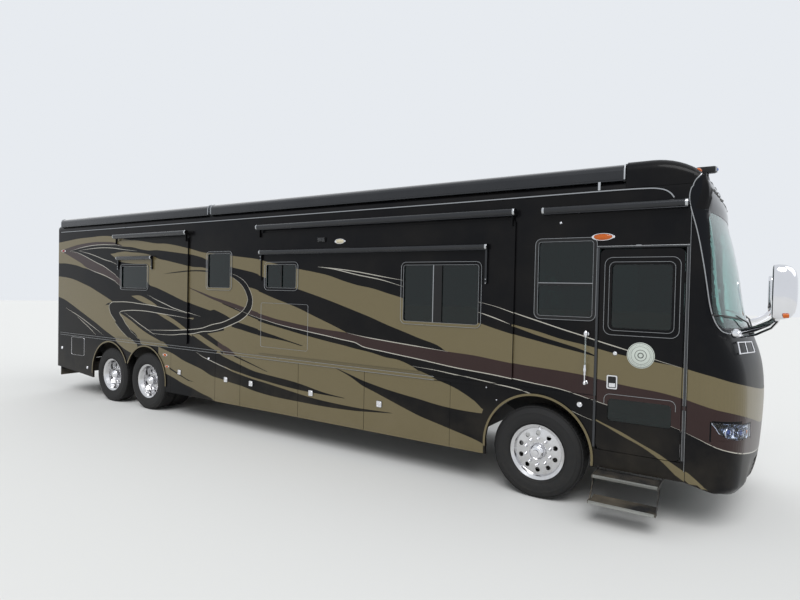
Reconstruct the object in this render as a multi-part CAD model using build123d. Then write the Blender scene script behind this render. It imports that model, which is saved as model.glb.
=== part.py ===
"""Tri-axle motor coach with a lived-in body: frame, axles, wheels, shell, doors and slide-out rooms.

Millimetres. X runs forward, Y to the driver's (left) side, Z up. While the pieces are made, X = 0 is
the front axle; write() then moves each by front_axle_x, so that the origin lies on the ground under
the middle of the whole vehicle.
"""
from build123d import *
from math import atan2, cos, pi, sin, sqrt
import os

os.makedirs("parts", exist_ok=True)

# Whole vehicle
front_axle_x = 4180.0        # front axle, ahead of the vehicle's middle
half_width = 1275.0          # side panels, from the centre line
rear_x = -10600.0            # flat of the rear cap
nose_x = 2105.0              # furthest point of the nose
cap_front_x = 1478.0         # joint between side wall and front cap
cap_rear_x = -10420.0        # joint between side wall and rear cap
skirt_low_z = 400.0          # bottom of the lower side panels
front_low_z = 495.0          # their bottom ahead of the front wheel
belt_z = 1190.0              # underside of the belt rail
belt_height = 45.0
belt_proud = 10.0
gutter_z = 3340.0            # top of the flat side wall
roof_edge_radius = 170.0
roof_crown_z = gutter_z + 275.0   # roof on the centre line

# Walls
wall = 45.0                  # laminated side wall
skin = 30.0                  # lower side panels and bay doors
shell = 40.0                 # moulded caps
roof_wall = 60.0
deck_top_z = belt_z + belt_height
deck_thick = 50.0
deck_low_z = deck_top_z - deck_thick
panel_gap = 6.0              # shut line round every door
seat = 0.3                   # gap between pieces that are fastened or run on one another

# Wheels and axles
drive_x = -7332.0
tag_x = -8511.0
wheel_z = 515.0
tyre_radius = wheel_z
tyre_half = 146.0
seat_radius = 286.0          # rim under the tyre's bead
flange_radius = 308.0
flange_thick = 12.0
rim_half = 126.0
rim_wall = 12.0
single_wheel_y = half_width - 175.0   # middle of a single tyre, and of the outer tyre of a pair
twin_pitch = 338.0
arch_radius = 600.0
arch_z = 550.0
kingpin_y = single_wheel_y - 220.0
kingpin_radius = 20.0
spindle_radius = 42.0
running = 0.1                # radial clearance of a turning fit

# Frame
rail_y = 432.0               # middle of each frame rail
rail_wide = 75.0
rail_deep = 250.0
rail_high_z = 1155.0         # top of the raised middle stretch
rail_low_z = 1000.0          # top of the two end stretches
rail_web = 10.0


def box(x0, x1, y0, y1, z0, z1):
    return Pos((x0 + x1) / 2, (y0 + y1) / 2, (z0 + z1) / 2) * Box(x1 - x0, y1 - y0, z1 - z0)


def side_prism(face, y0, y1):
    """A face drawn in X and Z, pulled from y0 to y1."""
    low, high = min(y0, y1), max(y0, y1)
    plane = Plane(origin=(0, high, 0), x_dir=(1, 0, 0), z_dir=(0, -1, 0))
    return extrude(plane * face, amount=high - low)


def cross_prism(face, x0, x1):
    """A face drawn in Y and Z, pulled from x0 to x1."""
    plane = Plane(origin=(x0, 0, 0), x_dir=(0, 1, 0), z_dir=(1, 0, 0))
    return extrude(plane * face, amount=x1 - x0)


def flat_prism(face, z0, z1):
    return extrude(Plane.XY.offset(z0) * face, amount=z1 - z0)


def outline(*points):
    return make_face(Polyline(*points, close=True))


def rounded(x0, x1, z0, z1, radius):
    return Pos((x0 + x1) / 2, (z0 + z1) / 2) * RectangleRounded(x1 - x0, z1 - z0, radius)


def rod(start, end, radius):
    start, end = Vector(*start), Vector(*end)
    plane = Plane(origin=start, z_dir=end - start)
    return extrude(plane * Circle(radius), amount=(end - start).length)


def left_of(shape):
    return mirror(shape, Plane.XZ)


def both(shape):
    return [shape, left_of(shape)]


def join(shapes):
    result = shapes[0]
    for shape in shapes[1:]:
        result = result + shape
    return result


def cut(shape, tools):
    for tool in tools:
        shape = shape - tool
    return shape


def write(name, shapes):
    solids = []
    for shape in shapes if isinstance(shapes, list) else [shapes]:
        solids += shape.solids()
    moved = [solid.moved(Location((front_axle_x, 0, 0))) for solid in solids]
    piece = moved[0] if len(moved) == 1 else Compound(children=moved)
    piece.label = name
    export_step(piece, f"parts/{name}.step")


# Body section
def body_face(inset=0.0, low=0.0):
    """Section of the whole body across the vehicle, moved in by inset."""
    side = half_width - inset
    radius = roof_edge_radius - inset
    top = gutter_z + radius
    crown = roof_crown_z - inset
    turn = radius * sin(pi / 4)
    flat = side - radius
    return make_face([
        Line((-side, low), (-side, gutter_z)),
        ThreePointArc((-side, gutter_z), (-flat - turn, gutter_z + turn), (-flat, top)),
        ThreePointArc((-flat, top), (0, crown), (flat, top)),
        ThreePointArc((flat, top), (flat + turn, gutter_z + turn), (side, gutter_z)),
        Line((side, gutter_z), (side, low)),
        Line((side, low), (-side, low)),
    ])


# Side openings, right side: rear edge, front edge, bottom, top
slide_low_z = belt_z + 140.0
bedroom_slide = (-8240.0, -6160.0, slide_low_z, gutter_z - 290.0)
living_slide = (-4345.0, -330.0, slide_low_z, gutter_z - 280.0)
door_hole = (636.0, 1436.0, belt_z - 514.0, gutter_z - 578.0)
wall_windows = {              # fixed windows in the side walls
    "bath": (-5640.0, -5040.0, gutter_z - 1105.0, gutter_z - 505.0),
    "front": (-40.0, 596.0, gutter_z - 1318.0, gutter_z - 468.0),
}
slide_windows = {             # windows in the slide-out rooms
    "bedroom": [(-8110.0, -7245.0, gutter_z - 1150.0, gutter_z - 700.0)],
    "living": [(-4245.0, -3585.0, gutter_z - 1085.0, gutter_z - 690.0),
               (-1780.0, -692.0, gutter_z - 1464.0, gutter_z - 710.0)],
}
window_radius = 55.0
frame_wide = 26.0
frame_proud = 8.0
glass_thick = 8.0
glass_inset = 12.0
slide_gap = 12.0             # between a slide-out room and its hole
slide_depth = 790.0
slide_wall = 40.0
flange_lap = 45.0            # rim of a slide-out room, over the wall's face
flange_thick_slide = 22.0
seal_gap = 6.0


def grown(opening, amount):
    return (opening[0] - amount, opening[1] + amount, opening[2] - amount, opening[3] + amount)


def window_hole(opening, y0, y1):
    return side_prism(rounded(*opening, window_radius), y0, y1)


def window_frame(opening, face_y, deep):
    """Right-side frame that lines a hole and stands proud of the face at face_y."""
    radius = window_radius
    inner = grown(opening, -frame_wide)
    lining = side_prism(rounded(*grown(opening, -0.3), radius), face_y + deep, face_y - frame_proud)
    lip = side_prism(rounded(*grown(opening, 14.0), radius + 14.0), face_y - 0.3, face_y - frame_proud)
    light = side_prism(rounded(*inner, radius - 20.0), face_y + deep + 1, face_y - frame_proud - 1)
    return lining + lip - light


def window_glass(opening, face_y):
    pane = grown(opening, -frame_wide - 0.3)
    radius = window_radius - 20.0
    return side_prism(rounded(*pane, radius), face_y + glass_inset + glass_thick, face_y + glass_inset)


# Side walls, right and left
def wall_blank():
    return box(cap_rear_x, cap_front_x, -half_width, -half_width + wall, deck_top_z, gutter_z)


def slide_hole(opening):
    return box(opening[0], opening[1], -half_width - 50, -half_width + wall + 50, opening[2], opening[3])


right_wall = cut(wall_blank(), [
    slide_hole(bedroom_slide),
    slide_hole(living_slide),
    slide_hole(door_hole),
    window_hole(wall_windows["bath"], -half_width - 50, -half_width + wall + 50),
    window_hole(wall_windows["front"], -half_width - 50, -half_width + wall + 50),
])
left_wall = left_of(cut(wall_blank(), [
    slide_hole(living_slide),
    window_hole(slide_windows["bedroom"][0], -half_width - 50, -half_width + wall + 50),
    window_hole(wall_windows["bath"], -half_width - 50, -half_width + wall + 50),
    window_hole(wall_windows["front"], -half_width - 50, -half_width + wall + 50),
]))
write("side_walls", [right_wall, left_wall])

right_fixed = [wall_windows["bath"], wall_windows["front"]]
left_fixed = right_fixed + [slide_windows["bedroom"][0]]
window_frames = [window_frame(opening, -half_width, wall) for opening in right_fixed]
window_frames += [left_of(window_frame(opening, -half_width, wall)) for opening in left_fixed]
write("window_frames", window_frames)
window_panes = [window_glass(opening, -half_width) for opening in right_fixed]
window_panes += [left_of(window_glass(opening, -half_width)) for opening in left_fixed]
write("side_windows", window_panes)

# Roof: arched skin over the walls, open below
roof_ring = cross_prism(body_face(0, gutter_z - 1), cap_rear_x, cap_front_x)
roof_void = cross_prism(body_face(roof_wall, gutter_z - 200), cap_rear_x - 1, cap_front_x + 1)
roof = roof_ring - roof_void - box(cap_rear_x - 1, cap_front_x + 1, -2000, 2000, 0, gutter_z)
write("roof", roof)

# Front cap: plan outline with a bowed front and rounded corners, lofted up the nose
nose_table = [               # height, furthest point, corner radius, how far the front falls back at the sides
    (250.0, 1930.0, 260.0, 233.0),
    (420.0, 2020.0, 360.0, 233.0),
    (800.0, 2085.0, 430.0, 233.0),
    (1300.0, nose_x, 430.0, 233.0),
    (1680.0, 2058.0, 400.0, 233.0),
    (2000.0, 1950.0, 300.0, 233.0),
    (gutter_z - 840.0, 1858.0, 230.0, 208.0),
    (gutter_z - 340.0, 1752.0, 160.0, 137.0),
    (gutter_z + 60.0, 1690.0, 110.0, 102.0),
    (gutter_z + 360.0, 1650.0, 90.0, 90.0),
]
brow_z = roof_crown_z - 5.0


def cap_plan(front_x, corner, fall, inset):
    side = half_width - inset + 0.5      # the body section trims this to the wall's face
    corner = corner - inset
    bow = (half_width ** 2 + fall ** 2) / (2 * fall) - inset
    front = front_x - inset
    back = cap_front_x - (20 if inset else 0)
    middle = front - bow
    corner_y = side - corner
    corner_x = middle + sqrt((bow - corner) ** 2 - corner_y ** 2)
    reach = bow / (bow - corner)
    touch_x = middle + reach * (corner_x - middle)
    touch_y = reach * corner_y
    turn = atan2(touch_y - corner_y, touch_x - corner_x) / 2 + pi / 4
    mid_x = corner_x + corner * cos(turn)
    mid_y = corner_y + corner * sin(turn)
    return make_face([
        Line((back, -side), (corner_x, -side)),
        ThreePointArc((corner_x, -side), (mid_x, -mid_y), (touch_x, -touch_y)),
        ThreePointArc((touch_x, -touch_y), (front, 0), (touch_x, touch_y)),
        ThreePointArc((touch_x, touch_y), (mid_x, mid_y), (corner_x, side)),
        Line((corner_x, side), (back, side)),
        Line((back, side), (back, -side)),
    ])


def cap_solid(inset):
    sections = [Plane.XY.offset(z) * cap_plan(x, corner, fall, inset) for z, x, corner, fall in nose_table]
    body = loft(sections)
    back = cap_front_x - (20 if inset else 0)
    section = cross_prism(body_face(inset, 0), back, nose_x + 100)
    brow_x = 1640.0 - inset
    top = brow_z + 60 - inset
    profile = make_face([
        Line((back - 1, 100), (nose_x + 50, 100)),
        Line((nose_x + 50, 100), (nose_x + 50, brow_z - 1010)),
        Line((nose_x + 50, brow_z - 1010), (brow_x + 160, top - 420)),
        ThreePointArc((brow_x + 160, top - 420), (brow_x + 40, top - 150), (brow_x - 260, top - 20)),
        Line((brow_x - 260, top - 20), (back - 1, top)),
        Line((back - 1, top), (back - 1, 100)),
    ])
    return body & section & side_prism(profile, half_width + 10, -half_width - 10)


cap_outer = cap_solid(0.0)
cap_inner = cap_solid(shell)
cap_mid = cap_solid(16.0)
glass_inner = cap_solid(28.0)
windscreen = (half_width - 70.0, 1975.0, gutter_z - 40.0)   # half width, bottom, top
windscreen_gap = 0.3


def screen_prism(margin):
    half, low, high = windscreen
    face = Pos(0, (low + high) / 2) * RectangleRounded(2 * (half + margin), high - low + 2 * margin,
                                                     130.0 + margin)
    return cross_prism(face, cap_front_x + 10, nose_x + 60)


front_shell = cap_outer - cap_inner - screen_prism(windscreen_gap)
front_shell = front_shell - box(cap_front_x - 60, cap_front_x, -1400, 1400, 0, 4000)
windscreen_glass = (cap_mid - glass_inner) & screen_prism(0.0)
write("windshield", windscreen_glass)

# The bottom edge rises from the chin to the corners
chin_y = half_width - 485.0
corner_rise = outline((chin_y, 0), (chin_y, 240), (chin_y + 140, 420), (half_width + 25, front_low_z),
                      (half_width + 25, 0))
front_shell = cut(front_shell, both(cross_prism(corner_rise, cap_front_x - 10, nose_x + 60)))

# Headlamps sit in the corners of the front cap
lamp_low_z, lamp_high_z = 925.0, 1085.0
lamp_inner_y, lamp_rear_x = half_width - 445.0, 1690.0
lamp_face = outline((lamp_inner_y, lamp_low_z + 10), (half_width + 25, lamp_low_z),
                    (half_width + 25, lamp_high_z + 25),
                    (lamp_inner_y + 40, lamp_high_z - 20))
lamp_block = cross_prism(lamp_face, lamp_rear_x, nose_x + 60)
lamp_cut = join([lamp_block, left_of(lamp_block)])
front_shell = front_shell - lamp_cut
lamp_lens = (cap_outer - cap_inner) & lamp_block
write("headlamps", both(lamp_lens))

# Lower grille opening and its bars, in the middle of the nose
grille_hole = cross_prism(rounded(-520, 520, 470, 640, 40), cap_front_x + 100, nose_x + 60)
front_shell = front_shell - grille_hole
bars = [(cap_outer - cap_inner) & box(cap_front_x, nose_x + 50, -530, 530, z, z + 14)
        for z in (500, 545, 590)]
front_shell = join([front_shell] + bars)
write("front_cap", front_shell)

# Rear cap with the engine door's hole
rear_corner = 110.0


def rear_solid(inset):
    side = half_width - inset
    rear = rear_x + inset
    corner = rear_corner - inset
    face = make_face([
        Line((cap_rear_x + (20 if inset else 0), -side), (rear + corner, -side)),
        ThreePointArc((rear + corner, -side),
                      (rear + corner * (1 - cos(pi / 4)), -side + corner * (1 - sin(pi / 4))),
                      (rear, -side + corner)),
        Line((rear, -side + corner), (rear, side - corner)),
        ThreePointArc((rear, side - corner),
                      (rear + corner * (1 - cos(pi / 4)), side - corner * (1 - sin(pi / 4))),
                      (rear + corner, side)),
        Line((rear + corner, side), (cap_rear_x + (20 if inset else 0), side)),
        Line((cap_rear_x + (20 if inset else 0), side), (cap_rear_x + (20 if inset else 0), -side)),
    ])
    low = 510.0
    block = flat_prism(face, low - (1 if inset else 0), roof_crown_z + 50)
    return block & cross_prism(body_face(inset, 0), rear_x - 10, cap_rear_x + 30)


engine_hole = (-850.0, 850.0, 600.0, 1500.0)
rear_shell = rear_solid(0.0) - rear_solid(shell)
rear_shell = rear_shell - cross_prism(rounded(*engine_hole, 60), rear_x - 50, rear_x + 100)
tail_hole = (half_width - 320.0, half_width - 160.0, 1290.0, 1790.0)
tail_block = cross_prism(rounded(*tail_hole, 50), rear_x - 6, rear_x + shell)
rear_shell = rear_shell - join(both(tail_block))
write("rear_cap", rear_shell)
tail_lens = cross_prism(rounded(*grown(tail_hole, -0.3), 50), rear_x - 12, rear_x + shell - 8)
write("tail_lamps", both(tail_lens))

# Engine door: louvred, hung from its top edge
door_face = rounded(*grown(engine_hole, -panel_gap), 54)
engine_door = cross_prism(door_face, rear_x - 60, rear_x + 20)
engine_door = engine_door - cross_prism(rounded(*grown(engine_hole, -50), 30), rear_x - 30, rear_x + 21)
louvre_pitch = 58.0
for row in range(8):
    low = 720.0 + row * louvre_pitch
    engine_door = engine_door - box(rear_x - 70, rear_x, -640, 640, low, low + 34)
    blade = outline((rear_x - 58, low - 3), (rear_x - 52, low - 3), (rear_x - 34, low + 31),
                    (rear_x - 40, low + 31))
    engine_door = engine_door + side_prism(blade, -642, 642)
engine_hinge_z = engine_hole[3]
engine_barrels = [rod((rear_x - panel_gap, y, engine_hinge_z), (rear_x - panel_gap, y + 160, engine_hinge_z),
                      panel_gap - seat) for y in (-640.0, -80.0, 480.0)]
engine_barrels += [box(rear_x - 9, rear_x - 3, y, y + 160, engine_hinge_z - 10, engine_hinge_z)
                   for y in (-640.0, -80.0, 480.0)]
write("engine_door", join([engine_door] + engine_barrels))

# Lower side panels: belt rail, wheel arches and the fixed panels, one piece a side
bays = [                      # name, rear edge, front edge of each bay in the lower side
    ("a", -6585.0, -5405.0),
    ("b", -5405.0, -4803.0),
    ("c", -4803.0, -3566.0),
    ("d", -3566.0, -2369.0),
    ("e", -2369.0, -1072.0),
]
bay_rear_x = bays[0][1]
bay_front_x = bays[-1][2]
outer_y = -half_width
rear_rise_z = 510.0
rear_quarter = side_prism(outline(
    (cap_rear_x, rear_rise_z), (tag_x - 540, skirt_low_z), (bay_rear_x, skirt_low_z),
    (bay_rear_x, belt_z), (cap_rear_x, belt_z)), outer_y, outer_y + skin)
front_quarter = side_prism(outline(
    (bay_front_x, skirt_low_z), (300, skirt_low_z), (door_hole[0] - 10, front_low_z),
    (cap_front_x, front_low_z), (cap_front_x, belt_z), (bay_front_x, belt_z)), outer_y, outer_y + skin)
belt = box(cap_rear_x, cap_front_x, outer_y - belt_proud, outer_y + wall, belt_z, deck_top_z)


def arch_cut(x):
    circle = Pos(x, arch_z) * Circle(arch_radius)
    below = Pos(x, arch_z / 2) * Rectangle(2 * arch_radius, arch_z)
    return side_prism(circle + below, outer_y - 50, outer_y + 100)


arch_band = 26.0
arch_lip_deep = 14.0


def arch_lip(x):
    ring = Pos(x, arch_z) * Circle(arch_radius + arch_band) - Pos(x, arch_z) * Circle(arch_radius)
    ring = side_prism(ring, outer_y - arch_lip_deep, outer_y + skin)
    return ring - box(x - 900, x + 900, outer_y - 60, outer_y + 60, -200, arch_z - 60)


rear_lips = arch_lip(tag_x) + arch_lip(drive_x)
rear_lips = cut(rear_lips, [arch_cut(tag_x), arch_cut(drive_x)])
vee = box(tag_x + 200, drive_x - 200, outer_y - 50, outer_y + 100, 0, 790)
rear_quarter = cut(rear_quarter, [arch_cut(tag_x), arch_cut(drive_x)]) + rear_lips - vee
front_quarter = front_quarter - arch_cut(0) + arch_lip(0)
door_notch = box(door_hole[0], door_hole[1], outer_y - 60, outer_y + 60, door_hole[2], 2000)
skirt_right = join([rear_quarter, front_quarter - door_notch, belt - door_notch])
skirt_left = left_of(join([rear_quarter, front_quarter, belt]))
write("lower_sides", [skirt_right, skirt_left])

# Bay doors, hung at their front edge on the outer face
latch_size = 84.0
latch_x = 250.0              # from the door's rear edge
latch_z = 785.0
door_top_z = belt_z - panel_gap
door_return = 26.0           # folded edge behind the skin
pin_inset, pin_radius = 2.4, 3.3     # hinge pin in the front corner, up against the belt rail


def bay_door(rear, front):
    x0, x1 = rear + panel_gap / 2, front - panel_gap / 2
    panel = box(x0, x1, outer_y, outer_y + skin, skirt_low_z, door_top_z)
    hollow = box(x0 + door_return, x1 - door_return, outer_y + 6, outer_y + skin + 1,
                 skirt_low_z + door_return, door_top_z - door_return)
    ribs = [box(x, x + 20, outer_y + 5, outer_y + skin - 4, skirt_low_z + 10, door_top_z - 10)
            for x in (x0 + (x1 - x0) / 3, x0 + 2 * (x1 - x0) / 3)]
    recess_x = x0 + latch_x if front - rear > 700 else x0 + 0.45 * (x1 - x0)
    latch = side_prism(rounded(recess_x - latch_size / 2, recess_x + latch_size / 2,
                               latch_z - latch_size / 2, latch_z + latch_size / 2, 14),
                       outer_y - 7, outer_y + 10)
    dish = side_prism(rounded(recess_x - latch_size / 2 + 12, recess_x + latch_size / 2 - 12,
                              latch_z - latch_size / 2 + 12, latch_z + latch_size / 2 - 12, 8),
                      outer_y - 8, outer_y - 1)
    paddle = box(recess_x - 24, recess_x + 24, outer_y - 6, outer_y, latch_z - 6, latch_z + 26)
    pin = rod((x1 - pin_inset, outer_y + pin_inset, door_top_z - 10),
              (x1 - pin_inset, outer_y + pin_inset, belt_z - seat), pin_radius)
    return join([panel - hollow] + ribs + [latch - dish, paddle, pin])


for name, rear, front in bays:
    write(f"bay_door_right_{name}", bay_door(rear, front))
left_bays = [("a", bays[0][1], bays[0][2]), ("c", bays[1][1], bays[2][2]),
             ("d", bays[3][1], bays[3][2]), ("e", bays[4][1], bays[4][2])]
for name, rear, front in left_bays:
    write(f"bay_door_left_{name}", left_of(bay_door(rear, front)))

# Bay floor and bulkheads
pan_low_z, pan_thick, sheet = 430.0, 25.0, 24.0
pan_half = half_width - skin - 10.0
pan = box(bay_rear_x, bay_front_x + sheet, -pan_half, pan_half, pan_low_z, pan_low_z + pan_thick)
rail_notch = [box(bay_rear_x - 100, bay_front_x + 100, side - rail_wide / 2 - 5, side + rail_wide / 2 + 5,
                  rail_high_z - rail_deep - 40, deck_low_z + 1) for side in (-rail_y, rail_y)]
bulkheads = [box(x, x + sheet, -pan_half, pan_half, pan_low_z, deck_low_z)
             for x in [bay_rear_x] + [front for _, _, front in bays]]
bulkheads = [cut(bulkhead, rail_notch) for bulkhead in bulkheads]
bay_pan = join([pan] + bulkheads)
write("bay_floor", bay_pan)

# Deck, with the stairwell cut at the door
stair_x0, stair_x1, stair_y = 646.0, 1426.0, -640.0
deck = box(cap_rear_x, cap_front_x, -half_width + wall, half_width - wall, deck_low_z, deck_top_z)
deck = deck - box(stair_x0, stair_x1, -half_width, stair_y, 0, 2000)
runner_wide = 90.0
slide_runners = []
for opening, sides in ((bedroom_slide, (-1,)), (living_slide, (-1, 1))):
    rear, front = opening[0], opening[1]
    for x in (rear + (front - rear) * 0.2, rear + (front - rear) * 0.8):
        for side in sides:
            y0, y1 = side * (half_width - wall - 5), side * (half_width - slide_depth + 20)
            slide_runners.append(box(x - runner_wide / 2, x + runner_wide / 2, min(y0, y1), max(y0, y1),
                                     deck_top_z - 1, opening[2] + slide_gap - seat))
deck = join([deck] + slide_runners)
write("deck", deck)

# Frame rails: raised in the middle, lower over the axles
rail_bend_rear, rail_bend_front, bend_run = -6560.0, -760.0, 260.0


def rail_profile(inset):
    low, high = rail_low_z, rail_high_z
    top = [(cap_rear_x + 30, low - inset), (rail_bend_rear - bend_run, low - inset),
           (rail_bend_rear, high - inset), (rail_bend_front, high - inset),
           (rail_bend_front + bend_run, low - inset), (cap_front_x - 30, low - inset)]
    bottom = [(x, z - rail_deep + 2 * inset) for x, z in reversed(top)]
    return outline(*top, *bottom)


rail = side_prism(rail_profile(0), rail_y - rail_wide / 2, rail_y + rail_wide / 2)
pocket = side_prism(rail_profile(rail_web), rail_y - rail_wide / 2 - 1, rail_y + rail_wide / 2 - rail_web)
rail = rail - pocket
rail_spans = [                # each rail is spliced at its bends: low, raised, low
    (cap_rear_x, rail_bend_rear),
    (rail_bend_rear + seat, rail_bend_front - seat),
    (rail_bend_front, cap_front_x),
]
rail_parts = [rail & box(x0, x1, 0, half_width, 0, 2000) for x0, x1 in rail_spans]
write("frame_rails", [piece for part in rail_parts for piece in both(part)])
cross_table = [               # place of each cross member and whether the rail is raised there
    (-10250.0, False), (-8900.0, False), (-8100.0, False), (-6950.0, False), (-6000.0, True),
    (-5100.0, True), (-4150.0, True), (-3000.0, True), (-1700.0, True), (-450.0, False), (420.0, False),
    (1380.0, False),
]
cross_half = 35.0
tubes, bearers, risers = [], [], []
for x, raised in cross_table:
    top = rail_high_z if raised else rail_low_z
    web_y = rail_y + rail_wide / 2 - rail_web
    tubes.append(box(x - cross_half, x + cross_half, -web_y, web_y, top - 180, top - 60))
    bearer_half = pan_half if x < 300 else 630.0
    bearers.append(box(x - cross_half, x + cross_half, -bearer_half, bearer_half, rail_high_z, deck_low_z))
    if not raised:
        risers += both(box(x - cross_half, x + cross_half, rail_y - 30, rail_y + 30, top, rail_high_z))
write("cross_members", tubes)
write("deck_bearers", bearers)
write("deck_risers", risers)
receiver_z = 455.0
receiver_half, receiver_wall = 38.0, 6.5
receiver_front, receiver_back = -10200.0, -10670.0
tube = box(receiver_back, receiver_front, -receiver_half, receiver_half,
           receiver_z - receiver_half, receiver_z + receiver_half)
tube_inner = receiver_half - receiver_wall
tube = tube - box(receiver_back - 1, receiver_front - 60, -tube_inner, tube_inner,
                  receiver_z - tube_inner, receiver_z + tube_inner)
hitch_pin_radius, hitch_pin_x = 8.0, receiver_back + 60.0
tube = tube - rod((hitch_pin_x, -60, receiver_z), (hitch_pin_x, 60, receiver_z), hitch_pin_radius)
hitch_bar = box(receiver_front - 80, receiver_front, -rail_y, rail_y, receiver_z - 25, receiver_z + 25)
hitch_bar = hitch_bar - box(receiver_front - 81, receiver_front - 60, -tube_inner, tube_inner,
                            receiver_z - tube_inner, receiver_z + tube_inner)
hangers = both(box(receiver_front - 80, receiver_front, rail_y - 30, rail_y + 30,
                   receiver_z - 25, rail_low_z - rail_deep))
write("hitch_receiver", join([tube, hitch_bar] + hangers))

# Engine: one plain block between the rails
engine_half = rail_y - rail_wide / 2 - 15.0
engine_front_x = -9180.0
write("engine_block", box(cross_table[0][0] + cross_half + seat, engine_front_x, -engine_half, engine_half,
                          690.0, 1140.0))

# Front axle beam, king pin eyes and air springs
eye_radius, eye_half = 44.0, 48.0
beam_low_z = 400.0
beam = box(-48, 48, -kingpin_y + 80, kingpin_y - 80, beam_low_z, beam_low_z + 90)
web_cut = [box(-49, -14, -700, 700, beam_low_z + 20, beam_low_z + 70),
           box(14, 49, -700, 700, beam_low_z + 20, beam_low_z + 70)]
beam = cut(beam, web_cut)
neck = cross_prism(outline((kingpin_y - 160, beam_low_z), (kingpin_y - 95, beam_low_z),
                           (kingpin_y - 64, wheel_z - eye_half), (kingpin_y - 20, wheel_z - eye_half),
                           (kingpin_y - 20, wheel_z + eye_half), (kingpin_y - 90, wheel_z + eye_half)),
                   -40, 40)
eye = Pos(0, kingpin_y, wheel_z) * Cylinder(eye_radius, 2 * eye_half)
eye_bore = Pos(0, kingpin_y, wheel_z) * Cylinder(kingpin_radius + running, 400)
beam_end = neck + eye
front_beam = join([beam] + both(beam_end))
front_beam = cut(front_beam, both(eye_bore))
write("front_axle", front_beam)

# Steering knuckles: fork, king pin, spindle, arm and tie rod
arm_x, arm_y = -300.0, kingpin_y
fork_thick = 34.0
fork_low_z = wheel_z - eye_half - 2 - fork_thick
arm_low_z, arm_top_z = 362.0, 388.0   # the steering arm passes under the axle beam
tie_z = 414.0
ball_radius = 14.0
knuckle_parts = [
    Pos(0, kingpin_y, wheel_z) * Cylinder(kingpin_radius, 2 * (eye_half + 2 + fork_thick)),
    Pos(0, kingpin_y, wheel_z + eye_half + 2 + fork_thick / 2) * Cylinder(50, fork_thick),
    Pos(0, kingpin_y, wheel_z - eye_half - 2 - fork_thick / 2) * Cylinder(50, fork_thick),
    box(-48, 48, kingpin_y + eye_radius + 6, kingpin_y + eye_radius + 40,
        wheel_z - eye_half - 2 - fork_thick, wheel_z + eye_half + 2 + fork_thick),
    box(-48, 48, kingpin_y, kingpin_y + eye_radius + 30,
        wheel_z + eye_half + 2, wheel_z + eye_half + 2 + fork_thick),
    box(-48, 48, kingpin_y, kingpin_y + eye_radius + 30,
        wheel_z - eye_half - 2 - fork_thick, wheel_z - eye_half - 2),
    rod((0, kingpin_y + eye_radius + 20, wheel_z), (0, single_wheel_y + 50, wheel_z), spindle_radius),
    rod((0, kingpin_y, arm_low_z), (0, kingpin_y, fork_low_z + 5), 40),
    flat_prism(outline((0, kingpin_y + 38), (0, kingpin_y - 38), (arm_x - 20, arm_y - 22),
                       (arm_x - 20, arm_y + 22)), arm_low_z, arm_top_z),
    rod((arm_x, arm_y, arm_top_z - 5), (arm_x, arm_y, tie_z + 18), ball_radius),
]
knuckle_left = join(knuckle_parts)
knuckle_right = left_of(knuckle_left)
write("knuckle_left", knuckle_left)
write("knuckle_right", knuckle_right)
tie_eye = (Pos(arm_x, arm_y, tie_z) * Cylinder(26, 22)) - (Pos(arm_x, arm_y, tie_z)
                                                         * Cylinder(ball_radius + running, 40))
tie_bar = rod((arm_x, -arm_y + 22, tie_z), (arm_x, arm_y - 22, tie_z), 17)
write("tie_rod", join([tie_bar] + both(tie_eye)))

# Drive and tag axles with the prop shaft
drive_inner_y = single_wheel_y - twin_pitch
axle_tube = 72.0


def axle(x, bowl, tube_half):
    pieces = [rod((x, -tube_half, wheel_z), (x, tube_half, wheel_z), axle_tube),
              rod((x, -single_wheel_y - 50, wheel_z), (x, single_wheel_y + 50, wheel_z), spindle_radius)]
    if bowl:
        pieces.append(rod((x - 150, 0, wheel_z), (x + 170, 0, wheel_z), 175))
    return join(pieces)


drive_axle = axle(drive_x, True, drive_inner_y - 190)
tag_axle = axle(tag_x, False, drive_inner_y - 190)
shaft = rod((drive_x - 140, 0, wheel_z + 60), (engine_front_x + 6, 0, 760.0), 42)
write("rear_axles", [join([drive_axle, shaft]), tag_axle])

bellow_radius = 105.0


def bellow(x, low, high):
    rise = (high - low) / 4
    neck = bellow_radius - 30
    profile = outline((0, low), (neck, low), (bellow_radius, low + rise), (neck, low + 2 * rise),
                      (bellow_radius, low + 3 * rise), (neck, high - seat), (0, high - seat))
    return Pos(x, rail_y, 0) * revolve(Plane.XZ * profile, Axis.Z)


rail_under = rail_low_z - rail_deep
springs = []
for x, low in ((0.0, beam_low_z + 90.3), (drive_x, wheel_z + axle_tube + 0.3),
               (tag_x, wheel_z + axle_tube + 0.3)):
    springs += both(bellow(x, low, rail_under))
write("air_springs", springs)

# Tyres
tyre_seat = seat_radius + 0.3
bead_half = rim_half - flange_thick - 7.5   # the bead leans clear of the rim flange
tyre_face = outline((tyre_seat, -bead_half), (tyre_seat, bead_half), (410, tyre_half), (tyre_radius, 108),
                    (tyre_radius, -108), (410, -tyre_half))
tyre = revolve(tyre_face, Axis.Y)


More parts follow.
